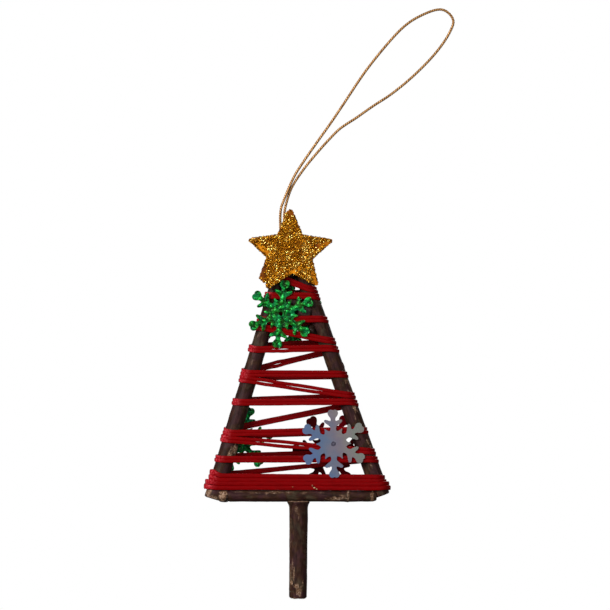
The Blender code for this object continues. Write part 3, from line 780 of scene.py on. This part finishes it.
# Front and back faces from their depths, joined by a wall round every open edge
def solidPlate(flat, triangles, rim, frontDepth, backDepth):
    count = len(flat)
    front = np.column_stack([flat[:, 0], frontDepth, flat[:, 1]])
    back = np.column_stack([flat[:, 0], backDepth, flat[:, 1]])
    walls = np.column_stack([rim[:, 1], rim[:, 0], rim[:, 0] + count, rim[:, 1] + count])
    return np.concatenate([front, back]), [np.concatenate([triangles, triangles[:, ::-1] + count]), walls]


# Corners cut off twice or more, which rounds a closed outline
def roundedOutline(outline, times):
    for _ in range(times):
        after = np.roll(outline, -1, 0)
        outline = np.stack([0.75 * outline + 0.25 * after, 0.25 * outline + 0.75 * after], 1).reshape(-1, 2)
    return outline


# Extra points along every side of an outline, so that none is longer than the step
def dividedOutline(outline, step):
    parts = []
    for start, end in zip(outline, np.roll(outline, -1, 0)):
        count = max(1, int(np.linalg.norm(end - start) / step))
        parts.append(start + (end - start) * (np.arange(count) / count)[:, None])
    return np.concatenate(parts)


# Snowflake sequins. One half of an arm, then mirrored: distance along the arm and aside, in mm
halfArm = np.array((
    (9.95, 0.0), (10.2, 0.45), (10.1, 1.05), (9.6, 1.5), (8.95, 1.6), (8.3, 1.3), (7.8, 0.85),
    (7.4, 0.72), (6.78, 0.74), (6.93, 1.35), (7.25, 2.2), (7.08, 2.65), (6.6, 2.72), (6.1, 2.22),
    (5.4, 1.25), (4.95, 0.83), (4.3, 0.80), (3.75, 1.0), (3.8, 1.5), (4.1, 2.0), (4.55, 2.5),
))
sequinLook = {
    "holeRadius": 0.62,
    "stump": 5.4,
    "spacing": 0.2,
    "outlineStep": 0.16,
    "filmThickness": 0.22,
    "ripple": 0.02,
}


# Six arms turned by 60 degrees each. A snipped arm keeps only what lies within the stump's length
def sequinOutline(wholeArms):
    mirrored = halfArm[::-1] * (1, -1)
    sector = np.concatenate([mirrored[:-1], halfArm])
    parts = []
    for arm in range(6):
        points = sector if arm < wholeArms else sector[sector[:, 0] < sequinLook["stump"]]
        angle = arm * math.pi / 3
        turned = np.column_stack([
            points[:, 0] * math.cos(angle) - points[:, 1] * math.sin(angle),
            points[:, 0] * math.sin(angle) + points[:, 1] * math.cos(angle),
        ])
        parts.append(turned)
    return dividedOutline(roundedOutline(np.concatenate(parts), 2), sequinLook["outlineStep"])


# Pressed relief: beads along each arm, two domes and a raised edge on each lobe, a rib on each barb, a
# short spur between arms and pads round the hole, each a bell-shaped bump in the arm's own
# directions, all of it crumpled by noise
def pressedRelief(flat, seed):
    radius = np.linalg.norm(flat, axis=1)
    angle = np.arctan2(flat[:, 1], flat[:, 0])
    folded = (angle + math.pi / 6) % (math.pi / 3) - math.pi / 6
    v, u = radius * np.cos(folded), np.abs(radius * np.sin(folded))
    ridge = sum(0.36 * np.exp(-(u / 0.45) ** 2 - ((v - middle) / half) ** 2)
                for middle, half in ((3.6, 0.55), (5.2, 0.75), (7.5, 0.5)))
    dome = 0.26 * np.exp(-((v - 9.05) / 0.5) ** 2 - ((u - 0.75) / 0.45) ** 2)
    edge = 0.2 * np.exp(-((np.hypot(v - 9.0, u) - 1.3) / 0.25) ** 2)
    barb = 0.3 * np.exp(-((u - 0.6 - (v - 5.9) * 1.5) / 0.6) ** 2) * np.exp(-((v - 6.6) / 0.5) ** 2)
    pads = 0.34 * np.exp(-((radius - 2.1) / 0.5) ** 2) * (0.5 + 0.5 * np.cos(6 * angle)) ** 1.5
    between = (np.abs(folded) - math.pi / 6) / 0.13
    spur = 0.36 * np.exp(-((radius - 4.2) / 0.65) ** 2) * np.exp(-between ** 2)
    rim = 0.16 * np.exp(-((radius - 0.85) / 0.22) ** 2)
    crumple = 0.13 * roughNoise(np.column_stack([flat * 1.9, np.zeros(len(flat))]), seed, 2)
    return ridge + dome + edge + barb + pads + spur + rim + crumple


# Each sequin: its centre across and up, its radius against the common size, the turn of its first
# arm, how many arms are whole and how far it sits in towards the cord that carries it
sequins = {
    "snowflake_green_front": (-47.68, -90.89, 1.0, 83.0, 6, 0.5),
    "snowflake_silver_front": (-31.95, -129.72, 1.0, 91.5, 6, 0.5),
    "snowflake_green_rear_upper": (-44.50, -92.22, 1.0, 212.9, 5, 0.5),
    "snowflake_green_rear_lower": (-60.27, -128.70, 1.0, 250.0, 4, 0.6),
    "snowflake_red_rear": (-33.34, -131.60, 1.088, 61.5, 6, 0.5),
}


# The cut plate, raised by its relief or by a slight ripple, then turned and moved to its place. Its
# depth comes from the solid that it replaces
def makeSequin(name, node, pressed, seed, slot, material):
    x, z, size, degrees, wholeArms, inwards = sequins[node]
    low, high = (np.array(corner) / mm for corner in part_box(node))
    depth = (low[1] + high[1]) / 2
    outline = sequinOutline(wholeArms)
    flat, triangles, rim = cutPlate(outline, sequinLook["spacing"], sequinLook["holeRadius"])
    if pressed:
        relief = pressedRelief(flat, seed)
    else:
        relief = sequinLook["ripple"] * smoothNoise(np.column_stack([flat * 0.3, flat[:, :1]]), seed)
    towardsFront = -1 if depth < 0 else 1
    depth -= towardsFront * inwards
    half = sequinLook["filmThickness"] / 2
    lifted = towardsFront * relief
    points, faces = solidPlate(flat * size, triangles, rim, lifted - half, lifted + half)
    turn = math.radians(degrees)
    across = points[:, 0] * math.cos(turn) - points[:, 2] * math.sin(turn)
    up = points[:, 0] * math.sin(turn) + points[:, 2] * math.cos(turn)
    placed = np.column_stack([across + x, points[:, 1] + depth, up + z])
    film = np.column_stack([across, points[:, 1], up])
    piece = makePiece(name, placed, faces, {"film": film, "raised": np.tile(relief, 2)})
    piece.data.set_sharp_from_angle(angle=math.radians(60))
    finishPiece(piece, material, node)


# Pressed see-through film: painted darker in the grooves as shade and lighter on the raised beads as a
# painted highlight, with a teal tint in some patches and an olive one in others
def pressedFilm(name, groove, slope, top, teal, olive):
    material, shader = newMaterial(name)
    film = addNode(material, "ShaderNodeAttribute", {"attribute_name": "film"})
    raised = addNode(material, "ShaderNodeAttribute", {"attribute_name": "raised"})
    # Clouds of about 0.9 mm over tinted patches of about 2.2 mm
    cloud = addNode(material, "ShaderNodeTexNoise", None,
                    {"Vector": (film, "Vector"), "Scale": 1.1, "Detail": 4.0})
    patches = addNode(material, "ShaderNodeTexNoise", None,
                      {"Vector": (film, "Vector"), "Scale": 0.45, "Detail": 3.0})
    shifted = addNode(material, "ShaderNodeMath", {"operation": "MULTIPLY_ADD"},
                      {0: (cloud, "Fac"), 1: 1.1, 2: -0.55})
    height = addNode(material, "ShaderNodeMath", {"operation": "ADD"},
                     {0: (raised, "Fac"), 1: (shifted, 0)})
    # The relief height picks the colour, groove colour low and top colour high: painted shade and highlight
    colour = addNode(material, "ShaderNodeValToRGB", None, {"Fac": (height, 0)},
                     ramp=((0.0, groove), (0.16, slope), (0.38, top)))
    toTeal = addNode(material, "ShaderNodeMapRange", None,
                     {"Value": (patches, "Fac"), "From Min": 0.5, "From Max": 0.62, "To Max": 0.55})
    toOlive = addNode(material, "ShaderNodeMapRange", None,
                      {"Value": (patches, "Fac"), "From Min": 0.48, "From Max": 0.36, "To Max": 0.6})
    cooled = addNode(material, "ShaderNodeMix", {"data_type": "RGBA"},
                     {"Factor": (toTeal, 0), 6: (colour, "Color"), 7: linearColour(teal)})
    warmed = addNode(material, "ShaderNodeMix", {"data_type": "RGBA"},
                     {"Factor": (toOlive, 0), 6: (cooled, 2), 7: linearColour(olive)})
    setInputs(material, shader, {
        "Base Color": (warmed, 2),
        "Metallic": 0.35,
        "Roughness": 0.3,
        "Specular IOR Level": 0.1,
    })
    return material


# Satin holographic film: its colour runs from left to right and a little upwards, in soft clouds. The
# silver one goes from blue over mauve to a greenish grey, and the dark red one only grows lighter; its
# dark red is partly painted shade, as it lies in shade behind the cords
def holographicFilm(name, ramp, metallic, gloss):
    material, shader = newMaterial(name)
    film = addNode(material, "ShaderNodeAttribute", {"attribute_name": "film"})
    parts = addNode(material, "ShaderNodeSeparateXYZ", None, {"Vector": (film, "Vector")})
    # Clouds of about 4 mm
    cloud = addNode(material, "ShaderNodeTexNoise", None,
                    {"Vector": (film, "Vector"), "Scale": 0.25, "Detail": 2.0})
    across = addNode(material, "ShaderNodeMath", {"operation": "MULTIPLY_ADD"},
                     {0: (parts, "X"), 1: 0.04, 2: 0.3})
    upwards = addNode(material, "ShaderNodeMath", {"operation": "MULTIPLY_ADD"},
                      {0: (parts, "Z"), 1: 0.011, 2: (across, 0)})
    mixed = addNode(material, "ShaderNodeMath", {"operation": "MULTIPLY_ADD"},
                    {0: (cloud, "Fac"), 1: 0.4, 2: (upwards, 0)})
    colour = addNode(material, "ShaderNodeValToRGB", None, {"Fac": (mixed, 0)}, ramp=ramp)
    setInputs(material, shader, {
        "Base Color": (colour, "Color"),
        "Metallic": metallic,
        "Roughness": 0.5,
        "Specular IOR Level": gloss,
    })
    return material


greenFilm = pressedFilm("pressedGreenFilm", "#03290a", "#06641c", "#1c9c3c", "#0f7a44", "#1f4a10")
# A second copy of the pressed green film with its own tints for the rear sequins: painted light and shade
shadedGreenFilm = pressedFilm("pressedGreenFilmShadedCopy", "#053010", "#086a2a", "#12a44a", "#0b6444", "#16400f")
silverFilm = holographicFilm("holographicSilverFilm", (
    (0.1, "#4a5a7e"), (0.3, "#4b5b76"), (0.42, "#565e70"), (0.54, "#635d68"), (0.64, "#6a6466"),
    (0.8, "#666a64"), (0.95, "#6a6260"),
), 0.3, 0.1)
# The red sequin's very dark red is partly painted shade
redFilm = holographicFilm("deepRedFilm", ((0.3, "#240001"), (0.5, "#360002"), (0.7, "#520006")), 0.0, 0.02)
for sequin in (
    ("greenSequinFront", "snowflake_green_front", True, 71, "green_foil", greenFilm),
    ("silverSequinFront", "snowflake_silver_front", False, 73, "silver_foil", silverFilm),
    ("greenSequinRearUpper", "snowflake_green_rear_upper", True, 79, "green_foil", shadedGreenFilm),
    ("greenSequinRearLower", "snowflake_green_rear_lower", True, 83, "green_foil", shadedGreenFilm),
    ("redSequinRear", "snowflake_red_rear", False, 89, "red_foil", redFilm),
):
    makeSequin(*sequin)
print("sequins made")


# Glitter foam stars: a soft foam plate with flat hexagonal glitter stuck on at odd tilts
starLook = {
    "radius": 12.9,
    "notchRadius": 6.5,
    "rearRadius": 12.2,
    "rearNotchRadius": 6.2,
    "thickness": 1.8,
    "foamSpacing": 0.45,
    "foamBump": 0.05,
    "edgeInset": 0.08,
    "edgeRound": 0.12,
    "raggedEdge": 0.05,
    "frontGlitter": 4300,
    "backGlitter": 2600,
    "rimGlitter": 260,
    "rubbedShare": 0.93,
    "glitterWidth": 0.56,
    "glitterThickness": 0.05,
    "glitterSink": 0.03,
    "glitterScatter": 0.04,
    "tilt": 0.30,
    "rimTilt": 0.5,
    "frontInwards": 0.45,
}
# Hand-cut corners. A tip has its direction, how much further out than the radius it lies and its
# blunt width. A notch has its direction and how much further out it lies
starTips = {
    "star_front": ((15.2, -0.25, 0.6), (91.0, -0.5, 1.3), (164.0, 0.1, 0.4), (236.6, 0.0, 0.9),
                   (308.5, -0.15, 0.6)),
    "star_rear": ((15.0, 0.0, 0.8), (89.0, 0.0, 0.8), (164.0, 0.0, 0.8), (226.0, 0.1, 2.0),
                  (304.0, 0.0, 0.8)),
}
starNotches = {
    "star_front": ((53.4, -0.5), (129.0, -0.1), (193.0, 0.9), (273.3, -0.1), (341.0, 0.2)),
    "star_rear": ((52.0, -0.2), (126.5, -0.2), (195.0, 0.8), (265.0, 0.0), (339.5, 0.0)),
}
# Rubbed places with little glitter: distance right and up of the centre, half length, half width, turn
rubbedPlaces = {
    "star_front": ((-8.3, 0.8, 2.6, 0.9, -42), (10.6, 2.4, 2.0, 0.7, 15), (1.1, -5.8, 2.2, 0.8, 20),
                   (7.1, -8.5, 2.6, 0.6, -68), (0.1, 11.6, 1.3, 0.9, 90), (7.9, 1.6, 1.3, 0.8, 60)),
    "star_rear": ((-8.2, -7.4, 4.2, 1.6, 46), (4.0, 3.0, 2.0, 0.9, 40)),
}
# How much brighter, or browner if negative, the foam of each of those places is
wornShades = {"star_front": (0.38, 0.15, 0.42, 0.2, -0.12, -0.1), "star_rear": (-0.24, 0.0)}


# Tips and notches in turn: each tip is two points, its blunt width apart, and each notch is one
def starOutline(node, radius, notchRadius):
    outline = []
    for (degrees, further, width), (notchDegrees, notchFurther) in zip(starTips[node], starNotches[node]):
        angle = math.radians(degrees)
        reach = radius + further
        for side in (-width / 2, width / 2):
            outline.append((reach * math.cos(angle) - side * math.sin(angle),
                            reach * math.sin(angle) + side * math.cos(angle)))
        notch = math.radians(notchDegrees)
        notchReach = notchRadius + notchFurther
        outline.append((notchReach * math.cos(notch), notchReach * math.sin(notch)))
    return np.array(outline)


# How far out points lie in a rubbed place, squared: 0 in its middle and 1 on its turned oval edge
def rubbedReach(points, place):
    x, z, halfLength, halfWidth, degrees = place
    turn = math.radians(degrees)
    away = points - (x, z)
    alongPlace = away[:, 0] * math.cos(turn) + away[:, 1] * math.sin(turn)
    acrossPlace = away[:, 1] * math.cos(turn) - away[:, 0] * math.sin(turn)
    return (alongPlace / halfLength) ** 2 + (acrossPlace / halfWidth) ** 2


# Many flat hexagonal prisms at once: each a regular hexagon of six points in front and six behind,
# square to its own tilted direction
def glitterPrisms(centres, normals, sizes, spin):
    helper = np.where(np.abs(normals[:, 1:2]) > 0.9, [[1.0, 0, 0]], [[0, 1.0, 0]])
    first = np.cross(normals, helper)
    first /= np.linalg.norm(first, axis=1)[:, None]
    second = np.cross(normals, first)
    turn = spin[:, None] + np.arange(6) * math.pi / 3
    reach = sizes[:, None, None] / 2
    ring = reach * (np.cos(turn)[..., None] * first[:, None] + np.sin(turn)[..., None] * second[:, None])
    lift = normals[:, None] * starLook["glitterThickness"] / 2
    points = np.concatenate([centres[:, None] + ring + lift, centres[:, None] + ring - lift], 1)
    base = np.arange(len(centres))[:, None, None] * 12
    top = np.array([[0, 1, 2, 3], [0, 3, 4, 5]])
    bottom = top[:, ::-1] + 6
    k = np.arange(6)
    walls = np.column_stack([(k + 1) % 6, k, k + 6, (k + 1) % 6 + 6])
    faces = (base + np.concatenate([top, bottom, walls])[None]).reshape(-1, 4)
    return points.reshape(-1, 3), faces


# Places and directions of the glitter: spread over the triangles of both faces by area, thinned out
# on the rubbed places, and some along the rim
def glitterSpots(node, flat, triangles, rim, half, random):
    corners = flat[triangles]
    area = np.abs(np.cross(corners[:, 1] - corners[:, 0], corners[:, 2] - corners[:, 0])) / 2
    spots = []
    for face, count in ((-1, starLook["frontGlitter"]), (1, starLook["backGlitter"])):
        chosen = random.choice(len(triangles), count, p=area / area.sum())
        share = random.random((count, 2))
        over = share.sum(1) > 1
        share[over] = 1 - share[over]
        at = corners[chosen, 0] + share[:, :1] * (corners[chosen, 1] - corners[chosen, 0])
        at = at + share[:, 1:] * (corners[chosen, 2] - corners[chosen, 0])
        keep = np.ones(count, bool)
        for place in rubbedPlaces[node]:
            inside = rubbedReach(at, place) < 1
            keep &= ~(inside & (random.random(count) < starLook["rubbedShare"]))
        at = at[keep]
        depth = np.full(len(at), face * (half - starLook["glitterSink"]))
        depth = depth + random.normal(0, starLook["glitterScatter"], len(at))
        lean = random.normal(0, starLook["tilt"], (len(at), 2))
        normal = np.column_stack([lean[:, 0], np.full(len(at), float(face)), lean[:, 1]])
        spots.append((np.column_stack([at[:, 0], depth, at[:, 1]]), normal))
    rimSpots = random.choice(len(rim), starLook["rimGlitter"])
    rimAt, rimNext = flat[rim[rimSpots, 0]], flat[rim[rimSpots, 1]]
    outwards = np.column_stack([rimNext[:, 1] - rimAt[:, 1], rimAt[:, 0] - rimNext[:, 0]])
    outwards /= np.linalg.norm(outwards, axis=1)[:, None] + 1e-9
    lean = random.normal(0, starLook["rimTilt"], (len(rimAt), 3))
    normal = np.column_stack([outwards[:, 0], np.zeros(len(rimAt)), outwards[:, 1]]) + lean
    rimDepth = random.uniform(-half, half, len(rimAt))
    spots.append((np.column_stack([rimAt[:, 0], rimDepth, rimAt[:, 1]]), normal))
    centres = np.concatenate([spot[0] for spot in spots])
    normals = np.concatenate([spot[1] for spot in spots])
    return centres, normals / np.linalg.norm(normals, axis=1)[:, None]


# Foam plate with a ragged edge, soft bumps and worn places, and its glitter as a piece of its own
def makeStar(name, node, radius, notchRadius, seed, foam, glitter):
    low, high = (np.array(corner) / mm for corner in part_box(node))
    # The tips lie at known places, so the centre follows from the box's top and left side
    tips = starOutline(node, radius, notchRadius)
    depth = (low[1] + high[1]) / 2 + (starLook["frontInwards"] if node == "star_front" else 0.0)
    centre = np.array([low[0] - tips[:, 0].min(), depth, high[2] - tips[:, 1].max()])
    random = np.random.default_rng(seed)
    outline = dividedOutline(roundedOutline(dividedOutline(tips, 0.45), 1), 0.3)
    ragged = random.normal(0, starLook["raggedEdge"], outline.shape)
    outline = outline + (ragged + np.roll(ragged, 1, 0)) / 2
    flat, triangles, rim = cutPlate(outline, starLook["foamSpacing"])
    half = starLook["thickness"] / 2
    onRim = np.isin(np.arange(len(flat)), rim)
    plane = np.column_stack([flat * 1.4, np.zeros(len(flat))])
    bump = starLook["foamBump"] * roughNoise(plane, seed, 3) - starLook["edgeRound"] * onRim
    faceDepth = half - starLook["edgeInset"] + bump
    points, faces = solidPlate(flat, triangles, rim, -faceDepth, faceDepth)
    wearAndHighlight = np.zeros(len(points))
    for place, shade in zip(rubbedPlaces[node], wornShades[node]):
        wearAndHighlight += shade * np.exp(-rubbedReach(points[:, [0, 2]], place))
    foamPiece = makePiece(name + "Foam", points + centre, faces, {"foam": points, "wearAndHighlight": wearAndHighlight})
    foamPiece.data.set_sharp_from_angle(angle=math.radians(60))
    finishPiece(foamPiece, foam, node)
    centres, normals = glitterSpots(node, flat, triangles, rim, half, random)
    sizes = starLook["glitterWidth"] * random.uniform(0.75, 1.2, len(centres))
    points, faces = glitterPrisms(centres, normals, sizes, random.uniform(0, math.pi / 3, len(centres)))
    patchy = random.random(len(centres)) + 0.16 * roughNoise(centres * 0.45, seed + 2, 2)
    shade = np.repeat(np.clip(patchy, 0, 1), 12)
    glitterPiece = makePiece(name + "Glitter", points + centre, [faces], {"shade": shade}, smooth=False)
    finishPiece(glitterPiece, glitter)


# Craft foam printed amber: dull, brighter where the glitter has rubbed off and brown at the tip
def amberFoam():
    material, shader = newMaterial("amberCraftFoam")
    foam = addNode(material, "ShaderNodeAttribute", {"attribute_name": "foam"})
    wearAndHighlight = addNode(material, "ShaderNodeAttribute", {"attribute_name": "wearAndHighlight"})
    # Stains of about 1.4 mm and foam cells of 0.2 mm
    cloud = addNode(material, "ShaderNodeTexNoise", None,
                    {"Vector": (foam, "Vector"), "Scale": 0.7, "Detail": 4.0})
    shifted = addNode(material, "ShaderNodeMath", {"operation": "ADD", "use_clamp": True},
                      {0: (cloud, "Fac"), 1: (wearAndHighlight, "Fac")})
    colour = addNode(material, "ShaderNodeValToRGB", None, {"Fac": (shifted, 0)},
                     ramp=((0.1, "#4c1b01"), (0.35, "#743a02"), (0.55, "#955404"), (0.8, "#b66e06"),
                           (1.0, "#d0840e")))
    grit = addNode(material, "ShaderNodeTexNoise", None,
                   {"Vector": (foam, "Vector"), "Scale": 5.0, "Detail": 2.0})
    bumps = addNode(material, "ShaderNodeBump", None,
                    {"Height": (grit, "Fac"), "Strength": 0.5, "Distance": 0.0001})
    setInputs(material, shader, {
        "Base Color": (colour, "Color"),
        "Normal": (bumps, "Normal"),
        "Roughness": 0.55,
        "Specular IOR Level": 0.06,
    })
    return material


# Metallised film glitter: mirror-like gold, each piece its own shade from brown gold to pale gold
def goldGlitter():
    material, shader = newMaterial("goldFilmGlitter")
    shade = addNode(material, "ShaderNodeAttribute", {"attribute_name": "shade"})
    colour = addNode(material, "ShaderNodeValToRGB", None, {"Fac": (shade, "Fac")},
                     ramp=((0.0, "#643603"), (0.55, "#8a5206"), (0.78, "#a86c0a"), (0.9, "#d09c28"),
                           (1.0, "#ffe680")))
    setInputs(material, shader, {
        "Base Color": (colour, "Color"),
        "Metallic": 0.8,
        "Roughness": 0.27,
        "Specular IOR Level": 0.1,
    })
    return material


foamMaterial, glitterMaterial = amberFoam(), goldGlitter()
makeStar("frontStar", "star_front", starLook["radius"], starLook["notchRadius"], 101,
         foamMaterial, glitterMaterial)
makeStar("rearStar", "star_rear", starLook["rearRadius"], starLook["rearNotchRadius"], 103,
         foamMaterial, glitterMaterial)
print("stars made")


# Glue left between the pieces: dark with bark crumbs at the base twig's left end and in a collar where
# the trunk meets it, and as dark between the twig tops and behind the front green sequin, where it is
# near black to paint the deep shade there; dried specks on the cord and the collar, a grey drop in the
# silver sequin's hole, and clear lumps that hold the stars and the ends of the gold loop. Each bead is
# the place of its middle, its half sizes and its seed, in mm
glueBeads = {
    "darkGlueAndShade": (
        # The beads between the twig tops and behind the front green sequin are near black to paint the deep
        # shade there
        ((-44.75, 0.1, -77.9), (2.3, 1.7, 3.5), 201),
        ((-43.3, 0.1, -80.7), (0.9, 1.3, 1.0), 207),
        ((-42.6, -1.5, -147.1), (2.6, 2.2, 0.55), 203),
        ((-63.9, -2.4, -145.7), (0.55, 0.95, 1.35), 205),
        ((-40.6, -1.3, -89.6), (2.6, 1.5, 3.2), 206),
        ((-38.5, -1.4, -95.9), (1.1, 1.5, 1.7), 210),
        ((-44.0, -1.5, -87.5), (2.8, 1.3, 1.5), 208),
    ),
    "driedGlue": (
        ((-37.7, -3.75, -142.9), (0.32, 0.12, 0.22), 211),
        ((-38.3, -3.75, -142.3), (0.22, 0.11, 0.32), 213),
        ((-37.0, -3.75, -143.3), (0.28, 0.11, 0.18), 215),
        ((-44.2, -3.75, -142.6), (0.18, 0.1, 0.14), 217),
        ((-42.9, -3.9, -147.4), (0.7, 0.3, 0.28), 219),
        ((-41.8, -3.9, -147.1), (0.4, 0.25, 0.22), 221),
        ((-43.9, -3.8, -147.3), (0.3, 0.25, 0.18), 223),
    ),
    "holeGlue": (
        ((-31.95, -3.64, -129.72), (0.84, 0.12, 0.86), 224),
    ),
    "clearGlue": (
        ((-46.6, -2.1, -71.6), (2.5, 1.3, 2.7), 225),
        ((-46.6, 1.9, -72.0), (2.3, 1.2, 2.4), 226),
        ((-46.6, -0.1, -72.5), (1.9, 2.2, 3.0), 227),
        ((-47.6, -2.6, -78.5), (1.1, 0.8, 1.3), 229),
        ((-41.2, -2.7, -78.5), (1.1, 0.75, 1.3), 231),
        ((-47.6, 2.5, -78.5), (1.1, 0.6, 1.3), 233),
        ((-41.2, 2.55, -78.5), (1.1, 0.6, 1.3), 235),
    ),
}


# Ball of rings between two poles, its radius pushed in and out by noise
def makeBeads(name, material):
    points, walls, caps, count = [], [], [], 0
    rings, sides = 13, 20
    tilt, turn = np.meshgrid(np.linspace(0, math.pi, rings + 2)[1:-1],
                             np.linspace(0, 2 * math.pi, sides, endpoint=False), indexing="ij")
    ball = np.stack([np.sin(tilt) * np.cos(turn), np.sin(tilt) * np.sin(turn), np.cos(tilt)], -1)
    ball = np.concatenate([ball.reshape(-1, 3), [[0, 0, 1.0], [0, 0, -1.0]]])
    for middle, halfSizes, seed in glueBeads[name]:
        swell = 1 + 0.16 * roughNoise(ball * 1.7 + 5, seed, 2)
        points.append(np.array(middle) + ball * swell[:, None] * halfSizes)
        wall, cap = tubeFaces(rings, sides)
        walls.append(wall + count)
        caps.append(cap + count)
        count += len(ball)
    piece = makePiece(name, np.concatenate(points), [np.concatenate(walls), np.concatenate(caps)])
    finishPiece(piece, material)


# Hot glue: dark and crumbly where bark dust sticks to it, and near black where it also paints shade
# between parts, brown straw or grey where it has dried thin, else a pale straw colour
def glueMaterial(name, ramp):
    material, shader = newMaterial(name)
    place = addNode(material, "ShaderNodeTexCoord")
    # Dust and cloudy places of about 0.7 mm
    dust = addNode(material, "ShaderNodeTexNoise", None,
                   {"Vector": (place, "Object"), "Scale": 1500.0, "Detail": 3.0})
    colour = addNode(material, "ShaderNodeValToRGB", None, {"Fac": (dust, "Fac")}, ramp=ramp)
    setInputs(material, shader, {
        "Base Color": (colour, "Color"),
        "Roughness": 0.4,
        "Specular IOR Level": 0.15,
    })
    return material


darkGlueAndShade = glueMaterial("dustyGlueAndShade", ((0.35, "#0d0706"), (0.5, "#1f120d"), (0.68, "#33211a")))
driedGlue = glueMaterial("driedStrawGlue", ((0.35, "#5a2a1c"), (0.5, "#84563c"), (0.66, "#a58a68")))
holeGlue = glueMaterial("greyGlueInTheHole", ((0.35, "#25232d"), (0.5, "#363340"), (0.66, "#565260")))
clearGlue = glueMaterial("clearStrawGlue", ((0.35, "#8a8270"), (0.5, "#aba28c"), (0.66, "#c8c0aa")))
makeBeads("darkGlueAndShade", darkGlueAndShade)
makeBeads("driedGlue", driedGlue)
makeBeads("holeGlue", holeGlue)
makeBeads("clearGlue", clearGlue)
print("glue set")


# Studio: a pale floor well below the hanging foot, soft lights, white surroundings
studio = {
    "floorDepth": -0.36,
    "floorRadius": 1.8,
    "floorCorners": 96,
    "surroundings": 0.2,
}


# Round flat floor that glows faintly, so it stays pale without lighting the ornament from below
def makeFloor():
    corners = studio["floorCorners"]
    turn = np.linspace(0, 2 * math.pi, corners, endpoint=False)
    rim = np.column_stack([np.cos(turn), np.sin(turn), np.zeros(corners)]) * studio["floorRadius"]
    mesh = bpy.data.meshes.new("floor")
    mesh.from_pydata((rim + (0, 0, studio["floorDepth"])).tolist(), [], [list(range(corners))])
    floor = bpy.data.objects.new("floor", mesh)
    bpy.context.scene.collection.objects.link(floor)
    material, shader = newMaterial("paleFloorPaint")
    setInputs(material, shader, {
        "Base Color": linearColour("#f4f4f2"),
        "Roughness": 0.8,
        "Emission Color": linearColour("#ffffff"),
        "Emission Strength": 0.6,
    })
    mesh.materials.append(material)
    floor.visible_diffuse = False
    floor.visible_glossy = False


# Square light at a place, pitched and turned so that it shines at its aim
def addSoftbox(name, place, aim, size, watts):
    light = bpy.data.lights.new(name, "AREA")
    light.shape = "SQUARE"
    light.size = size
    light.energy = watts
    box = bpy.data.objects.new(name, light)
    bpy.context.scene.collection.objects.link(box)
    box.location = place
    direction = np.array(aim) - np.array(place)
    pitch = math.atan2(math.hypot(direction[0], direction[1]), -direction[2])
    box.rotation_euler = (pitch, 0, -math.atan2(direction[0], direction[1]))


makeFloor()
treeMiddle = (-0.043, 0.0, -0.11)
addSoftbox("keyLeft", (-0.62, -0.62, 0.22), treeMiddle, 0.45, 12.0)
addSoftbox("fillFront", (0.35, -1.05, 0.05), treeMiddle, 0.9, 5.5)
addSoftbox("topBack", (0.25, 0.75, 0.45), treeMiddle, 0.6, 8.0)

world = bpy.data.worlds.new("surroundings")
bpy.context.scene.world = world
world.use_nodes = True
rays = addNode(world, "ShaderNodeLightPath")
strength = addNode(world, "ShaderNodeMapRange", None,
                   {"Value": (rays, "Is Camera Ray"), "To Min": studio["surroundings"], "To Max": 1.0})
setInputs(world, world.node_tree.nodes["Background"], {
    "Color": (1, 1, 1, 1),
    "Strength": (strength, "Result"),
})
print("studio set")
